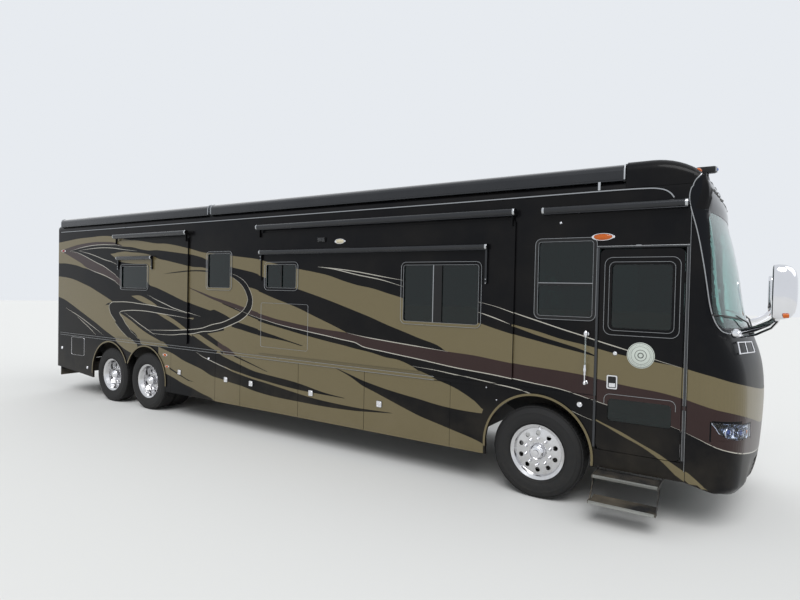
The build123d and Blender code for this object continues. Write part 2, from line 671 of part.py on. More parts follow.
def rim(dish_y, dome_y, disc_radius):
    """Rim with its outer side towards -Y; dish_y is where the disc stands, dome_y the hub's cap."""
    out, lip = rim_half, flange_radius
    well = seat_radius - 26
    barrel = outline(
        (lip, -out), (lip, -out + flange_thick), (seat_radius, -out + flange_thick), (seat_radius, -78),
        (well, -46), (well, 46), (seat_radius, 78), (seat_radius, out - flange_thick),
        (lip, out - flange_thick), (lip, out), (seat_radius - rim_wall, out - 18),
        (well - rim_wall, 52), (well - rim_wall, -52), (seat_radius - rim_wall, -out + 18))
    disc = outline((disc_radius, dish_y + 26), (disc_radius, dish_y + 12), (170, dish_y),
                   (60, dish_y), (60, dish_y + 16), (176, dish_y + 16))
    hub = outline((spindle_radius + running, 78), (spindle_radius + running, dome_y + 26),
                  (0, dome_y + 26), (0, dome_y), (72, dome_y + 8), (84, dome_y + 20), (84, dish_y + 8),
                  (130, dish_y + 8), (130, 70), (110, 78))
    turned = revolve(barrel, Axis.Y) + revolve(disc, Axis.Y)
    holes = 10
    for index in range(holes):
        angle = 360 / holes * (index + 0.5)
        hole = rod((205, dish_y - 30, 0), (205, dish_y + 60, 0), 27)
        turned = turned - Rot(0, angle, 0) * hole
    return turned + revolve(hub, Axis.Y)


well_inside = seat_radius - 26 - rim_wall
steer_rim = rim(-86.0, -150.0, well_inside + 20)
deep_rim = rim(20.0, -96.0, well_inside + 4)
inner_rim_face = outline(
    (flange_radius, -rim_half), (flange_radius, -rim_half + flange_thick),
    (seat_radius, -rim_half + flange_thick), (seat_radius, rim_half - flange_thick),
    (flange_radius, rim_half - flange_thick), (flange_radius, rim_half),
    (flange_radius - 8, rim_half), (seat_radius - rim_wall, rim_half - 18),
    (seat_radius - rim_wall, -rim_half + 18), (flange_radius - 8, -rim_half))
inner_disc = outline((seat_radius - rim_wall + 4, -rim_half + 34), (seat_radius - rim_wall + 4, -rim_half + 20),
                     (170, -rim_half + 2), (100, -rim_half + 2), (100, -rim_half + 18), (176, -rim_half + 18))
inner_drum = outline((100, -rim_half + 4), (spindle_radius + running, -rim_half + 4),
                     (spindle_radius + running, rim_half), (205, rim_half), (205, 10), (180, -10), (130, -60),
                     (130, -rim_half + 4))
inner_rim = revolve(inner_rim_face, Axis.Y) + revolve(inner_disc, Axis.Y) + revolve(inner_drum, Axis.Y)


def place_wheel(piece, x, y):
    return Pos(x, -y, wheel_z) * piece


wheel_table = [               # name, axle, rim
    ("front", 0.0, steer_rim),
    ("tag", tag_x, deep_rim),
]
for name, x, rim_piece in wheel_table:
    tyre_right = place_wheel(tyre, x, single_wheel_y)
    rim_right = place_wheel(rim_piece, x, single_wheel_y)
    write(f"tyre_{name}_right", tyre_right)
    write(f"tyre_{name}_left", left_of(tyre_right))
    write(f"wheel_{name}_right", rim_right)
    write(f"wheel_{name}_left", left_of(rim_right))
twin_tyres = [place_wheel(tyre, drive_x, single_wheel_y), place_wheel(tyre, drive_x, drive_inner_y)]
hub_gap = twin_pitch - 2 * rim_half
twin_rims = [place_wheel(deep_rim, drive_x, single_wheel_y), place_wheel(inner_rim, drive_x, drive_inner_y)]
spacer_face = outline((spindle_radius + running, 0), (spindle_radius + running, hub_gap + 40), (125, hub_gap + 40),
                      (125, 0))
spacer = Pos(drive_x, -single_wheel_y + rim_half - 26, wheel_z) * revolve(spacer_face, Axis.Y)
write("tyres_drive_right", twin_tyres)
write("tyres_drive_left", [left_of(piece) for piece in twin_tyres])
twin_right = join(twin_rims + [spacer])
write("wheels_drive_right", twin_right)
write("wheels_drive_left", left_of(twin_right))

# Slide-out rooms: open towards the middle, with a rim that laps the wall outside
topper_radius = 38.0


def slide_room(opening, windows, awning):
    inner = grown(opening, -slide_gap)
    x0, x1, z0, z1 = inner
    face_y = -half_width - seal_gap - flange_thick_slide
    room = box(x0, x1, face_y, -half_width + slide_depth, z0, z1)
    room = room - box(x0 + slide_wall, x1 - slide_wall, face_y + slide_wall + 10, 0,
                      z0 + slide_wall, z1 - slide_wall)
    lap = grown(opening, flange_lap)
    rim_plate = side_prism(rounded(*lap, 30), face_y, face_y + flange_thick_slide)
    rim_plate = rim_plate - box(x0 + 5, x1 - 5, face_y - 5, 0, z0 + 5, z1 - 5)
    room = room + rim_plate
    for window in windows:
        room = room - window_hole(window, face_y - 50, face_y + 120)
    roll_y = face_y - topper_radius - 4
    roll_z = opening[3] + 130
    pieces = [room, rod((opening[0] - 60, roll_y, roll_z), (opening[1] + 60, roll_y, roll_z), topper_radius)]
    for x in (opening[0] - 20, opening[1] + 8):
        pieces.append(box(x, x + 12, face_y - 30, face_y + 10, opening[3] - 20, roll_z))
    if awning:
        ax0, ax1, az, arm_low = awning
        bar_y = face_y - 32
        pieces.append(rod((ax0, bar_y, az), (ax1, bar_y, az), 32.5))
        for x in (ax0 + 8, ax1 - 30):
            pieces.append(box(x, x + 22, face_y - 16, face_y + 5, arm_low, az))
    return join(pieces)


living_awning = (-4345.0, -600.0, gutter_z - 528.0, gutter_z - 955.0)
bedroom_awning = (-8200.0, -7090.0, gutter_z - 570.0, gutter_z - 780.0)
slide_face_y = -half_width - seal_gap - flange_thick_slide
bedroom_room = slide_room(bedroom_slide, slide_windows["bedroom"], bedroom_awning)
living_room = slide_room(living_slide, slide_windows["living"], living_awning)
left_living_room = left_of(slide_room(living_slide, slide_windows["living"], None))
bed_trim = [window_frame(opening, slide_face_y, 50) for opening in slide_windows["bedroom"]]
living_trim = [window_frame(opening, slide_face_y, 50) for opening in slide_windows["living"]]
write("slide_bedroom_right", [bedroom_room] + bed_trim)
write("slide_living_right", [living_room] + living_trim)
write("slide_living_left", [left_living_room] + [left_of(trim) for trim in living_trim])
bed_glass = [window_glass(opening, slide_face_y) for opening in slide_windows["bedroom"]]
living_glass = [window_glass(opening, slide_face_y) for opening in slide_windows["living"]]
write("slide_glass_bedroom_right", bed_glass)
write("slide_glass_living_right", living_glass)
write("slide_glass_living_left", [left_of(pane) for pane in living_glass])

# Entry door, hung at its front edge
leaf = grown(door_hole, -panel_gap)
door_glass_hole = (737.0, 1350.0, gutter_z - 1415.0, gutter_z - 715.0)
door_low_hole = (752.0, 1347.0, 990.0, 1222.0)
door_leaf = side_prism(rounded(*leaf, 60), outer_y, outer_y + wall)
door_leaf = door_leaf - window_hole(door_glass_hole, outer_y - 10, outer_y + 100)
door_leaf = door_leaf - side_prism(rounded(*door_low_hole, 40), outer_y - 10, outer_y + 100)
latch_plate = side_prism(rounded(742, 842, 1325, 1462, 12), outer_y - 10, outer_y + 5)
lock_z = door_glass_hole[2] - 235
lock_round = rod((812, outer_y + 5, lock_z), (812, outer_y - 8, lock_z), 22)
barrels = [rod((leaf[1], outer_y, z), (leaf[1], outer_y, z + 110), panel_gap - seat)
           for z in (leaf[2] + 178, (leaf[2] + leaf[3]) / 2 - 79, leaf[3] - 336)]
door_leaf = join([door_leaf, latch_plate, lock_round, window_frame(door_glass_hole, outer_y, wall)] + barrels)
write("entry_door", door_leaf)
low_pane = side_prism(rounded(*grown(door_low_hole, -0.3), 40), outer_y + 20, outer_y + 12)
write("entry_door_glass", [window_glass(door_glass_hole, outer_y), low_pane])

# Stairs inside the door: treads and risers of folded plate
stair_plate = 20.0
stair_outer_y = outer_y + wall + panel_gap
tread_1, tread_2 = door_hole[2], (door_hole[2] + deck_top_z) / 2
stair_mid_y = (stair_outer_y + stair_y) / 2
stairs = cross_prism(outline(
    (stair_outer_y, tread_1 - stair_plate), (stair_outer_y, tread_1), (stair_mid_y, tread_1),
    (stair_mid_y, tread_2), (stair_y - stair_plate, tread_2), (stair_y - stair_plate, deck_top_z),
    (stair_y - seat, deck_top_z), (stair_y - seat, tread_2 - stair_plate),
    (stair_mid_y + stair_plate, tread_2 - stair_plate), (stair_mid_y + stair_plate, tread_1 - stair_plate)),
    stair_x0 + seat, stair_x1 - seat)
cheeks = [box(x, x + 12, stair_outer_y, stair_y - seat, tread_1 - stair_plate, deck_top_z)
          for x in (stair_x0 + seat, stair_x1 - 12 - seat)]
step_x0, step_x1 = 668.0, 1272.0     # treads of the outside step
step_plate = 12.0
runner_low, runner_top = 438.0, 470.0
guides = [box(x, x + step_plate, stair_outer_y, -700.0, runner_top + seat, tread_1 - stair_plate)
          for x in (step_x0 - step_plate, step_x1)]
write("entry_stairs", join([stairs] + cheeks + guides))

# Entry step: two treads between side plates, on runners that slide in under the stairs
tread_plates = [              # outer edge, inner edge, top
    (-1470.0, -1215.0, 462.0),
    (-1625.0, -1385.0, 246.0),
]
upper, lower = tread_plates
step_pieces = []
for y0, y1, top in tread_plates:
    plate = box(step_x0, step_x1, y0, y1, top - 32, top)
    hollow = box(step_x0 + 12, step_x1 - 12, y0 + 12, y1 + 1, top - 33, top - 5)
    step_pieces.append(plate - hollow)
side_shape = outline((upper[0], upper[2]), (lower[0], lower[2]), (lower[0], lower[2] - 32),
                     (lower[0] + 65, lower[2] - 32), (lower[1], 330), (upper[1], 430), (upper[1], upper[2]))
for x in (step_x0 - step_plate, step_x1):
    step_pieces.append(cross_prism(side_shape, x, x + step_plate))
    step_pieces.append(box(x, x + step_plate, upper[1] - 15, -900, runner_low, runner_top))
write("entry_step", join(step_pieces))

# Driving place
dash_face = outline((1250, deck_top_z), (1420, deck_top_z), (1700, 1560), (1790, 1850), (1640, 1905), (1380, 1870),
                    (1300, 1700))
dash_panel = side_prism(dash_face, -560, 980)
column = rod((1330, 560, 1700), (1105, 560, 1920), 34)
ring_face = Pos(215, 0) * RegularPolygon(16, 6)
wheel_ring = Pos(1105, 560, 1920) * Rot(0, -50, 0) * revolve(Plane.XZ * ring_face, Axis.Z)
spokes = [Pos(1105, 560, 1920) * Rot(0, -50, 0) * Rot(0, 0, turn) * (Pos(108, 0, 0) * Box(215, 30, 12))
          for turn in (0, 120, 240)]
write("dash_and_wheel", join([dash_panel, column, wheel_ring] + spokes))
seat_table = [                # middle of each front seat, X and Y
    (560.0, 600.0),
    (250.0, -640.0),
]


def front_seat(x, y):
    base = box(x - 160, x + 160, y - 150, y + 150, deck_top_z, deck_top_z + 260)
    cushion = chamfer(box(x - 270, x + 270, y - 270, y + 270, deck_top_z + 260, deck_top_z + 420).edges(), 36)
    back = chamfer(box(x - 360, x - 230, y - 260, y + 260, deck_top_z + 330, deck_top_z + 1100).edges(), 36)
    head = chamfer(box(x - 340, x - 250, y - 150, y + 150, deck_top_z + 1080, deck_top_z + 1270).edges(), 26)
    return join([base, cushion, back, head])


write("front_seats", [front_seat(x, y) for x, y in seat_table])

# Mirrors on arms that reach forward of the nose
mirror_x, mirror_y, mirror_z = 2185.0, half_width + 285.0, 2345.0
mirror_tall = 470.0
head_plan = make_face([
    Line((mirror_x - 60, -mirror_y - 120), (mirror_x - 60, -mirror_y + 120)),
    ThreePointArc((mirror_x - 60, -mirror_y + 120), (mirror_x + 120, -mirror_y), (mirror_x - 60, -mirror_y - 120)),
])
mirror_head = flat_prism(head_plan, mirror_z - mirror_tall / 2, mirror_z + mirror_tall / 2)
mirror_head = chamfer(mirror_head.edges().group_by(Axis.Z)[0] + mirror_head.edges().group_by(Axis.Z)[-1], 24)
arm_root = (1790.0, -half_width + 275, 1930.0)
arm_pad = (1905.0, -half_width + 170, 1968.0)
arm_knee = (2150.0, -half_width - 55, 2050.0)
arm_tip = (2160.0, -half_width - 270, 2125.0)
arm_radius = 26.0
mirror_arm = join([rod(arm_root, arm_knee, arm_radius), rod(arm_knee, arm_tip, arm_radius),
                   Pos(*arm_knee) * Sphere(arm_radius), rod(arm_root, arm_pad, 55)])
mirror_right = mirror_head + (mirror_arm - cap_outer)
write("mirrors", both(mirror_right))

# Awning cases along the roof edge, and the short one over the door
case_face = make_face([
    Line((-half_width + 20, gutter_z + 105), (-half_width - 5, gutter_z + 110)),
    Line((-half_width - 5, gutter_z + 110), (-half_width - 5, gutter_z + 215)),
    ThreePointArc((-half_width - 5, gutter_z + 215), (-half_width + 45, gutter_z + 275),
                  (-half_width + 125, gutter_z + 285)),
    Line((-half_width + 125, gutter_z + 285), (-half_width + 170, gutter_z + 270)),
    Line((-half_width + 170, gutter_z + 270), (-half_width + 170, gutter_z + 105)),
    Line((-half_width + 170, gutter_z + 105), (-half_width + 20, gutter_z + 105)),
])
roof_solid = cross_prism(body_face(0, 0), cap_rear_x - 500, cap_front_x + 500)
cases = [cross_prism(case_face, x0, x1) - roof_solid for x0, x1 in ((-10400.0, -5640.0), (-5560.0, 850.0))]
door_case_z = gutter_z - 155.0
door_case = rod((20, outer_y - 38, door_case_z), (1450, outer_y - 38, door_case_z), 38)
door_case = door_case + box(20, 1450, outer_y - 38, outer_y, door_case_z - 25, door_case_z + 25)
write("awning_cases", cases + [door_case])

# Roof units: air conditioners and vents
unit_table = [(-8900.0, 1050.0), (-4900.0, 1050.0), (-900.0, 1050.0)]   # middle, length
roof_top_cut = cross_prism(body_face(-0.3, 0), cap_rear_x - 500, cap_front_x + 500)
units = []
for x, length in unit_table:
    hood = flat_prism(Pos(x, 0) * RectangleRounded(length, 720, 120), roof_crown_z - 60, roof_crown_z + 245)
    hood = chamfer(hood.faces().sort_by(Axis.Z)[-1].edges(), 50)
    units.append(hood - roof_top_cut)
for x in (-6900.0, -2900.0):
    vent = box(x - 190, x + 190, 260, 640, roof_crown_z - 90, roof_crown_z + 70)
    units.append(chamfer(vent.faces().sort_by(Axis.Z)[-1].edges(), 24) - roof_top_cut)
write("roof_units", units)

# Small outside pieces
flap_top = 510.0
flap = box(rear_x + 20, rear_x + 32, -half_width + 95, half_width - 95, 300, flap_top)
write("mud_flap", flap - box(rear_x, rear_x + 50, -receiver_half - 12, receiver_half + 12,
                             receiver_z - receiver_half - 12, flap_top + 1))
bar_x, bar_low, bar_high = 528.0, 1315.0, 1910.0
grab = join([rod((bar_x, outer_y - 62, bar_low), (bar_x, outer_y - 62, bar_high), 15),
             rod((bar_x, outer_y, bar_low + 30), (bar_x, outer_y - 62, bar_low + 30), 13),
             rod((bar_x, outer_y, bar_high - 30), (bar_x, outer_y - 62, bar_high - 30), 13)])
write("grab_handle", grab)
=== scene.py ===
"""Tri-axle motor coach, dressed in the order in which it is put together: frame, axles, wheels, deck,
shell, paint, glass, doors, lamps, mirrors and roof gear. Metres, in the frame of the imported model."""
from math import atan2, cos, exp, pi, radians, sin, sqrt

import bmesh
import bpy
import numpy as np
from mathutils import Matrix, Vector
from mathutils.bvhtree import BVHTree
from mathutils.geometry import delaunay_2d_cdt
from mathutils.noise import noise


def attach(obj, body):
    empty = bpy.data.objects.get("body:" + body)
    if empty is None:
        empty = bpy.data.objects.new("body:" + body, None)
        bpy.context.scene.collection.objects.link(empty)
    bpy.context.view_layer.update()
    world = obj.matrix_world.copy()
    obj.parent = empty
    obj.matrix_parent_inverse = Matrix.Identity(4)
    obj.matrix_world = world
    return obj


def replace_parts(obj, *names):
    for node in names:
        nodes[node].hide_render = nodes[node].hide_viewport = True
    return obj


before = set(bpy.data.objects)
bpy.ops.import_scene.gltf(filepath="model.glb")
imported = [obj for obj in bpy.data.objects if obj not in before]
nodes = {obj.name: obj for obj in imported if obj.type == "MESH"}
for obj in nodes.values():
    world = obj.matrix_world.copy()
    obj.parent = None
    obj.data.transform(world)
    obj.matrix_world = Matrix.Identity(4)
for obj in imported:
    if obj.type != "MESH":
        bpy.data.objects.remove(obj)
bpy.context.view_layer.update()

# ---- Camera, floor and light -------------------------------------------------------------------
# The camera stands where the photograph was taken from, at a person's eye height off the right side,
# with a phone's wide lens. FRONT is the front axle, ahead of the vehicle's middle: most places along
# the coach are given from that axle.
FRONT = 4.18
CAB = 0.9                     # the upright line in the cab from which places on the nose are given
SIDES = (("right", -1), ("left", 1))
AXLES = {"front": 0.0, "drive": -7.332, "tag": -8.511}
front_axle = Vector((FRONT, 0, 0))
scene = bpy.context.scene
turn, tilt, lean = radians(-32.979), radians(-1.186), radians(1.193)
ahead = Vector((sin(turn) * cos(tilt), cos(turn) * cos(tilt), sin(tilt)))
level = Vector((cos(turn), -sin(turn), 0))
above = level.cross(ahead)
across = cos(lean) * level + sin(lean) * above
upward = -sin(lean) * level + cos(lean) * above
lens = bpy.data.cameras.new("camera")
lens.lens, lens.sensor_width = 24.975, 36
lens.clip_end = 500
camera = bpy.data.objects.new("camera", lens)
camera.matrix_world = Matrix.Translation((2.043 + FRONT, -7.239, 2.308)) @ Matrix(
    (across, upward, -ahead)).transposed().to_4x4()
scene.collection.objects.link(camera)
scene.camera = camera
scene.view_settings.view_transform = "Standard"


def srgb(red, green, blue):
    return tuple(((c / 255 + 0.055) / 1.055) ** 2.4 if c > 10 else c / 255 / 12.92
                 for c in (red, green, blue))


def tune(finish, title, value):
    finish.node_tree.nodes["Principled BSDF"].inputs[title].default_value = value


def maths(tree, operation, first, second):
    """A math node fed by two outputs."""
    node = tree.nodes.new("ShaderNodeMath")
    node.operation = operation
    tree.links.new(first, node.inputs[0])
    tree.links.new(second, node.inputs[1])
    return node.outputs[0]


def new_piece(name, mesh, body, finishes):
    """Links a finished mesh, gives it its finishes and lets it ride on a body."""
    piece = bpy.data.objects.new(name, mesh)
    scene.collection.objects.link(piece)
    for finish in finishes:
        mesh.materials.append(finish)
    if body:
        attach(piece, body)
    return piece


floor_mesh = bpy.data.meshes.new("floor")
floor_mesh.from_pydata([(70 * cos(a * pi / 48), 70 * sin(a * pi / 48), -0.001) for a in range(96)], [],
                       [list(range(96))])
floor_finish = bpy.data.materials.new("floor_paper")
floor_finish.use_nodes = True
tune(floor_finish, "Base Color", (0.72, 0.72, 0.71, 1))
tune(floor_finish, "Roughness", 0.9)
tune(floor_finish, "Specular IOR Level", 0.1)
floor = new_piece("floor", floor_mesh, None, [floor_finish])

sky = bpy.data.worlds.new("studio")
sky.use_nodes = True
scene.world = sky
sky_tree = sky.node_tree
sky_tree.nodes.clear()
sky_out = sky_tree.nodes.new("ShaderNodeOutputWorld")
seen, lighting = sky_tree.nodes.new("ShaderNodeBackground"), sky_tree.nodes.new("ShaderNodeBackground")
seen.inputs["Color"].default_value = (0.80, 0.83, 0.87, 1)
lighting.inputs["Color"].default_value = (0.93, 0.97, 1.0, 1)
lighting.inputs["Strength"].default_value = 0.55
path = sky_tree.nodes.new("ShaderNodeLightPath")
straight = maths(sky_tree, "MAXIMUM", path.outputs["Is Camera Ray"], path.outputs["Is Glossy Ray"])
straight = maths(sky_tree, "MAXIMUM", straight, path.outputs["Is Transmission Ray"])
sky_mix = sky_tree.nodes.new("ShaderNodeMixShader")
sky_tree.links.new(straight, sky_mix.inputs[0])
sky_tree.links.new(lighting.outputs[0], sky_mix.inputs[1])
sky_tree.links.new(seen.outputs[0], sky_mix.inputs[2])
sky_tree.links.new(sky_mix.outputs[0], sky_out.inputs[0])
for name, strength, spread, aim in (("key", 1.7, 35, (-0.25, 0.75, -0.95)),
                                    ("fill", 0.7, 60, (-0.8, -0.2, -0.7)),
                                    ("back", 0.5, 60, (0.9, -0.6, -0.9))):
    lamp = bpy.data.lights.new(name, "SUN")
    lamp.energy, lamp.angle = strength, radians(spread)
    lamp_object = bpy.data.objects.new(name, lamp)
    lamp_object.rotation_mode = "QUATERNION"
    lamp_object.rotation_quaternion = Vector(aim).to_track_quat("-Z", "Y")
    scene.collection.objects.link(lamp_object)

# ---- Frame -------------------------------------------------------------------------------------
# Ladder frame of pressed steel channel with tube cross members, painted satin black, dusty from the
# road. Its finish and the two shared effects (road dust and a fine surface ripple) are made here.


def node_group(name, inputs, outputs):
    tree = bpy.data.node_groups.new(name, "ShaderNodeTree")
    for title, value in inputs:
        socket = tree.interface.new_socket(title, in_out="INPUT", socket_type="NodeSocketFloat")
        socket.default_value = value
    for title, kind in outputs:
        tree.interface.new_socket(title, in_out="OUTPUT", socket_type=kind)
    return tree, tree.nodes.new("NodeGroupInput"), tree.nodes.new("NodeGroupOutput")


def road_dust_group():
    """Dust that settles in clouds and thickens towards the road, and a broad mottle."""
    tree, given, out = node_group("road_dust", [("Scale", 3.0), ("Top", 1.2), ("Amount", 0.5)],
                                  [("Dust", "NodeSocketFloat"), ("Mottle", "NodeSocketFloat")])
    add, link = tree.nodes.new, tree.links.new
    place = add("ShaderNodeTexCoord")
    cloud = add("ShaderNodeTexNoise")
    cloud.inputs["Detail"].default_value = 5
    cloud.inputs["Roughness"].default_value = 0.62
    link(place.outputs["Object"], cloud.inputs["Vector"])
    link(given.outputs["Scale"], cloud.inputs["Scale"])
    split = add("ShaderNodeSeparateXYZ")
    link(place.outputs["Object"], split.inputs[0])
    height = maths(tree, "DIVIDE", split.outputs["Z"], given.outputs["Top"])
    fade = add("ShaderNodeMapRange")
    fade.inputs["From Min"].default_value, fade.inputs["From Max"].default_value = 1.0, 0.15
    fade.inputs["To Min"].default_value, fade.inputs["To Max"].default_value = 0.12, 1.0
    link(height, fade.inputs["Value"])
    patch = add("ShaderNodeMapRange")
    patch.inputs["From Min"].default_value, patch.inputs["From Max"].default_value = 0.38, 0.72
    link(cloud.outputs["Fac"], patch.inputs["Value"])
    both = maths(tree, "MULTIPLY", fade.outputs[0], patch.outputs[0])
    link(maths(tree, "MULTIPLY", both, given.outputs["Amount"]), out.inputs["Dust"])
    link(cloud.outputs["Fac"], out.inputs["Mottle"])
    return tree


def ripple_group():
    """A fine ripple as a normal: orange peel in paint, grain in plastic, casting skin in iron."""
    tree, given, out = node_group("surface_ripple", [("Scale", 200.0), ("Strength", 0.1), ("Depth", 0.001)],
                                  [("Normal", "NodeSocketVector"), ("Height", "NodeSocketFloat")])
    add, link = tree.nodes.new, tree.links.new
    place = add("ShaderNodeTexCoord")
    grain = add("ShaderNodeTexNoise")
    grain.inputs["Detail"].default_value = 3
    link(place.outputs["Object"], grain.inputs["Vector"])
    link(given.outputs["Scale"], grain.inputs["Scale"])
    bump = add("ShaderNodeBump")
    link(given.outputs["Strength"], bump.inputs["Strength"])
    link(given.outputs["Depth"], bump.inputs["Distance"])
    link(grain.outputs["Fac"], bump.inputs["Height"])
    link(bump.outputs[0], out.inputs["Normal"])
    link(grain.outputs["Fac"], out.inputs["Height"])
    return tree


road_dust, surface_ripple = road_dust_group(), ripple_group()


def new_finish(name, colour, roughness, metallic=0.0, coat=0.0, dust=0.3, dust_top=1.2, dust_scale=3.0,
               ripple=(200, 0.1, 0.001), dust_colour=srgb(150, 138, 118), spread=0.08, second=None):
    """A named finish: colour with a second shade in clouds, road dust, roughness that varies, ripple."""
    finish = bpy.data.materials.new(name)
    finish.use_nodes = True
    tree = finish.node_tree
    add, link = tree.nodes.new, tree.links.new
    shader = tree.nodes["Principled BSDF"]
    dirt = add("ShaderNodeGroup")
    dirt.node_tree = road_dust
    for key, value in (("Scale", dust_scale), ("Top", dust_top), ("Amount", dust)):
        dirt.inputs[key].default_value = value
    shade = add("ShaderNodeMix")
    shade.data_type = "RGBA"
    shade.name = "shade"
    shade.inputs["A"].default_value = (*colour, 1)
    shade.inputs["B"].default_value = (*(second or [c * 0.86 for c in colour]), 1)
    link(dirt.outputs["Mottle"], shade.inputs["Factor"])
    dusty = add("ShaderNodeMix")
    dusty.data_type = "RGBA"
    dusty.inputs["B"].default_value = (*dust_colour, 1)
    link(shade.outputs["Result"], dusty.inputs["A"])
    link(dirt.outputs["Dust"], dusty.inputs["Factor"])
    link(dusty.outputs["Result"], shader.inputs["Base Color"])
    rough = add("ShaderNodeMapRange")
    rough.inputs["To Min"].default_value = max(0.0, roughness - spread)
    rough.inputs["To Max"].default_value = min(1.0, roughness + spread + dust * 0.3)
    link(dirt.outputs["Mottle"], rough.inputs["Value"])
    link(rough.outputs[0], shader.inputs["Roughness"])
    shader.inputs["Metallic"].default_value = metallic
    shader.inputs["Coat Weight"].default_value = coat
    shader.inputs["Coat Roughness"].default_value = 0.03
    if ripple:
        skin = add("ShaderNodeGroup")
        skin.node_tree = surface_ripple
        for key, value in zip(("Scale", "Strength", "Depth"), ripple):
            skin.inputs[key].default_value = value
        link(skin.outputs["Normal"], shader.inputs["Normal"])
    return finish


def dress(finish, *names):
    """Gives carried-over pieces their finish."""
    for name in names:
        for slot in nodes[name].material_slots:
            slot.material = finish


chassis_black = new_finish("chassis_black", srgb(30, 30, 31), 0.5, dust=0.55, dust_top=1.4, dust_scale=2.0,
                           ripple=(90, 0.25, 0.002))
dress(chassis_black, "frame_rails", "cross_members", "deck_bearers", "deck_risers", "hitch_receiver",
      "mud_flap")

# ---- Engine and axles --------------------------------------------------------------------------
# Cast and forged iron under thin grey-black paint that has dulled: engine, front beam with its
# knuckles, drive and tag axles with the prop shaft; the bellows are moulded rubber.
engine_iron = new_finish("engine_iron", srgb(58, 58, 57), 0.62, metallic=0.3, dust=0.6, dust_top=1.6,
                         dust_scale=4.0, ripple=(60, 0.5, 0.004), second=srgb(74, 62, 50))
axle_iron = new_finish("axle_iron", srgb(44, 44, 45), 0.6, metallic=0.4, dust=0.6, dust_top=1.0,
                       dust_scale=6.0, ripple=(45, 0.4, 0.003), second=srgb(66, 52, 42))
bellow_rubber = new_finish("bellow_rubber", srgb(20, 20, 21), 0.75, dust=0.5, dust_top=1.0, dust_scale=8.0,
                           ripple=(300, 0.2, 0.0006))
dress(engine_iron, "engine_block")
dress(axle_iron, "front_axle", "knuckle_left", "knuckle_right", "tie_rod", "rear_axles")
dress(bellow_rubber, "air_springs")

# ---- Wheels ------------------------------------------------------------------------------------
# Forged aluminium disc wheels, turned and polished to a mirror; the outer ones carry chrome hub covers
# and a ring of nut covers.
polished_alloy = new_finish("polished_alloy", srgb(222, 222, 224), 0.14, metallic=1.0, dust=0.25,
                            dust_top=1.1, dust_scale=14.0, ripple=(40, 0.05, 0.0008), spread=0.06)
dress(polished_alloy, "wheel_front_left", "wheel_front_right", "wheel_tag_left", "wheel_tag_right",
      "wheels_drive_left", "wheels_drive_right")


def strip(a, b, count, back=False):
    """Quads between two closed rows of points, the first numbered from a and the second from b."""
    if back:
        return [(a + k, b + k, b + (k + 1) % count, a + (k + 1) % count) for k in range(count)]
    return [(a + k, a + (k + 1) % count, b + (k + 1) % count, b + k) for k in range(count)]


def turned(profile, steps=48):
    """Points and faces of a closed outline (radius, along) spun round X; the outline is in order."""
    points, faces = [], []
    count = len(profile)
    for index in range(steps):
        angle = 2 * pi * index / steps
        points += [(along, radius * cos(angle), radius * sin(angle)) for radius, along in profile]
    for index in range(steps):
        faces += strip(index * count, (index + 1) % steps * count, count, back=True)
    return points, faces


def swept(path, section, closed=False, up=Vector((0, 0, 1))):
    """A section (sideways, upwards) carried along a path of points, square to it, with closed ends."""
    points, faces, run, count = [], [], [Vector(p) for p in path], len(section)
    for index, point in enumerate(run):
        before = run[index - 1] if index or closed else point
        after = run[(index + 1) % len(run)] if index < len(run) - 1 or closed else point
        along = (after - before).normalized()
        side = along.cross(up)
        side = side.normalized() if side.length > 1e-4 else Vector((1, 0, 0))
        top = side.cross(along).normalized()
        points += [tuple(point + side * a + top * b) for a, b in section]
    spans = len(run) if closed else len(run) - 1
    for index in range(spans):
        faces += strip(index * count, (index + 1) % len(run) * count, count)
    if not closed:
        faces += [tuple(range(count))[::-1], tuple((len(run) - 1) * count + k for k in range(count))]
    return points, faces


def round_section(radius, parts=12):
    return [(radius * cos(2 * pi * k / parts), radius * sin(2 * pi * k / parts)) for k in range(parts)]


def flat_section(half_wide, half_high):
    return [(-half_wide, -half_high), (half_wide, -half_high), (half_wide, half_high),
            (-half_wide, half_high)]


def prism(loop, y0, y1, edge=0.0):
    """A loop of (x, z) pulled from y0 to y1, its y1 rim drawn in by edge."""
    count = len(loop)
    middle = Vector((sum(p[0] for p in loop) / count, sum(p[1] for p in loop) / count))
    drawn = []
    for x, z in loop:
        away = Vector((x, z)) - middle
        away = away * max(0.0, 1 - edge / max(away.length, 1e-6))
        drawn.append((middle.x + away.x, middle.y + away.y))
    shoulder = y1 + (edge if y0 > y1 else -edge)
    rows = [(loop, y0), (loop, shoulder), (drawn, y1)] if edge else [(loop, y0), (loop, y1)]
    points = [(x, y, z) for row, y in rows for x, z in row]
    faces = [tuple(range(count)), tuple((len(rows) - 1) * count + k for k in range(count))[::-1]]
    for row in range(len(rows) - 1):
        faces += strip(row * count, (row + 1) * count, count, back=True)
    return points, faces


def ring_prism(outer, inner, y0, y1):
    """The band between two loops of the same count, pulled from y0 to y1."""
    count = len(outer)
    points = [(x, y, z) for loop, y in ((outer, y0), (outer, y1), (inner, y1), (inner, y0))
              for x, z in loop]
    return points, [face for row in range(4)
                    for face in strip(row * count, (row + 1) % 4 * count, count, back=True)]


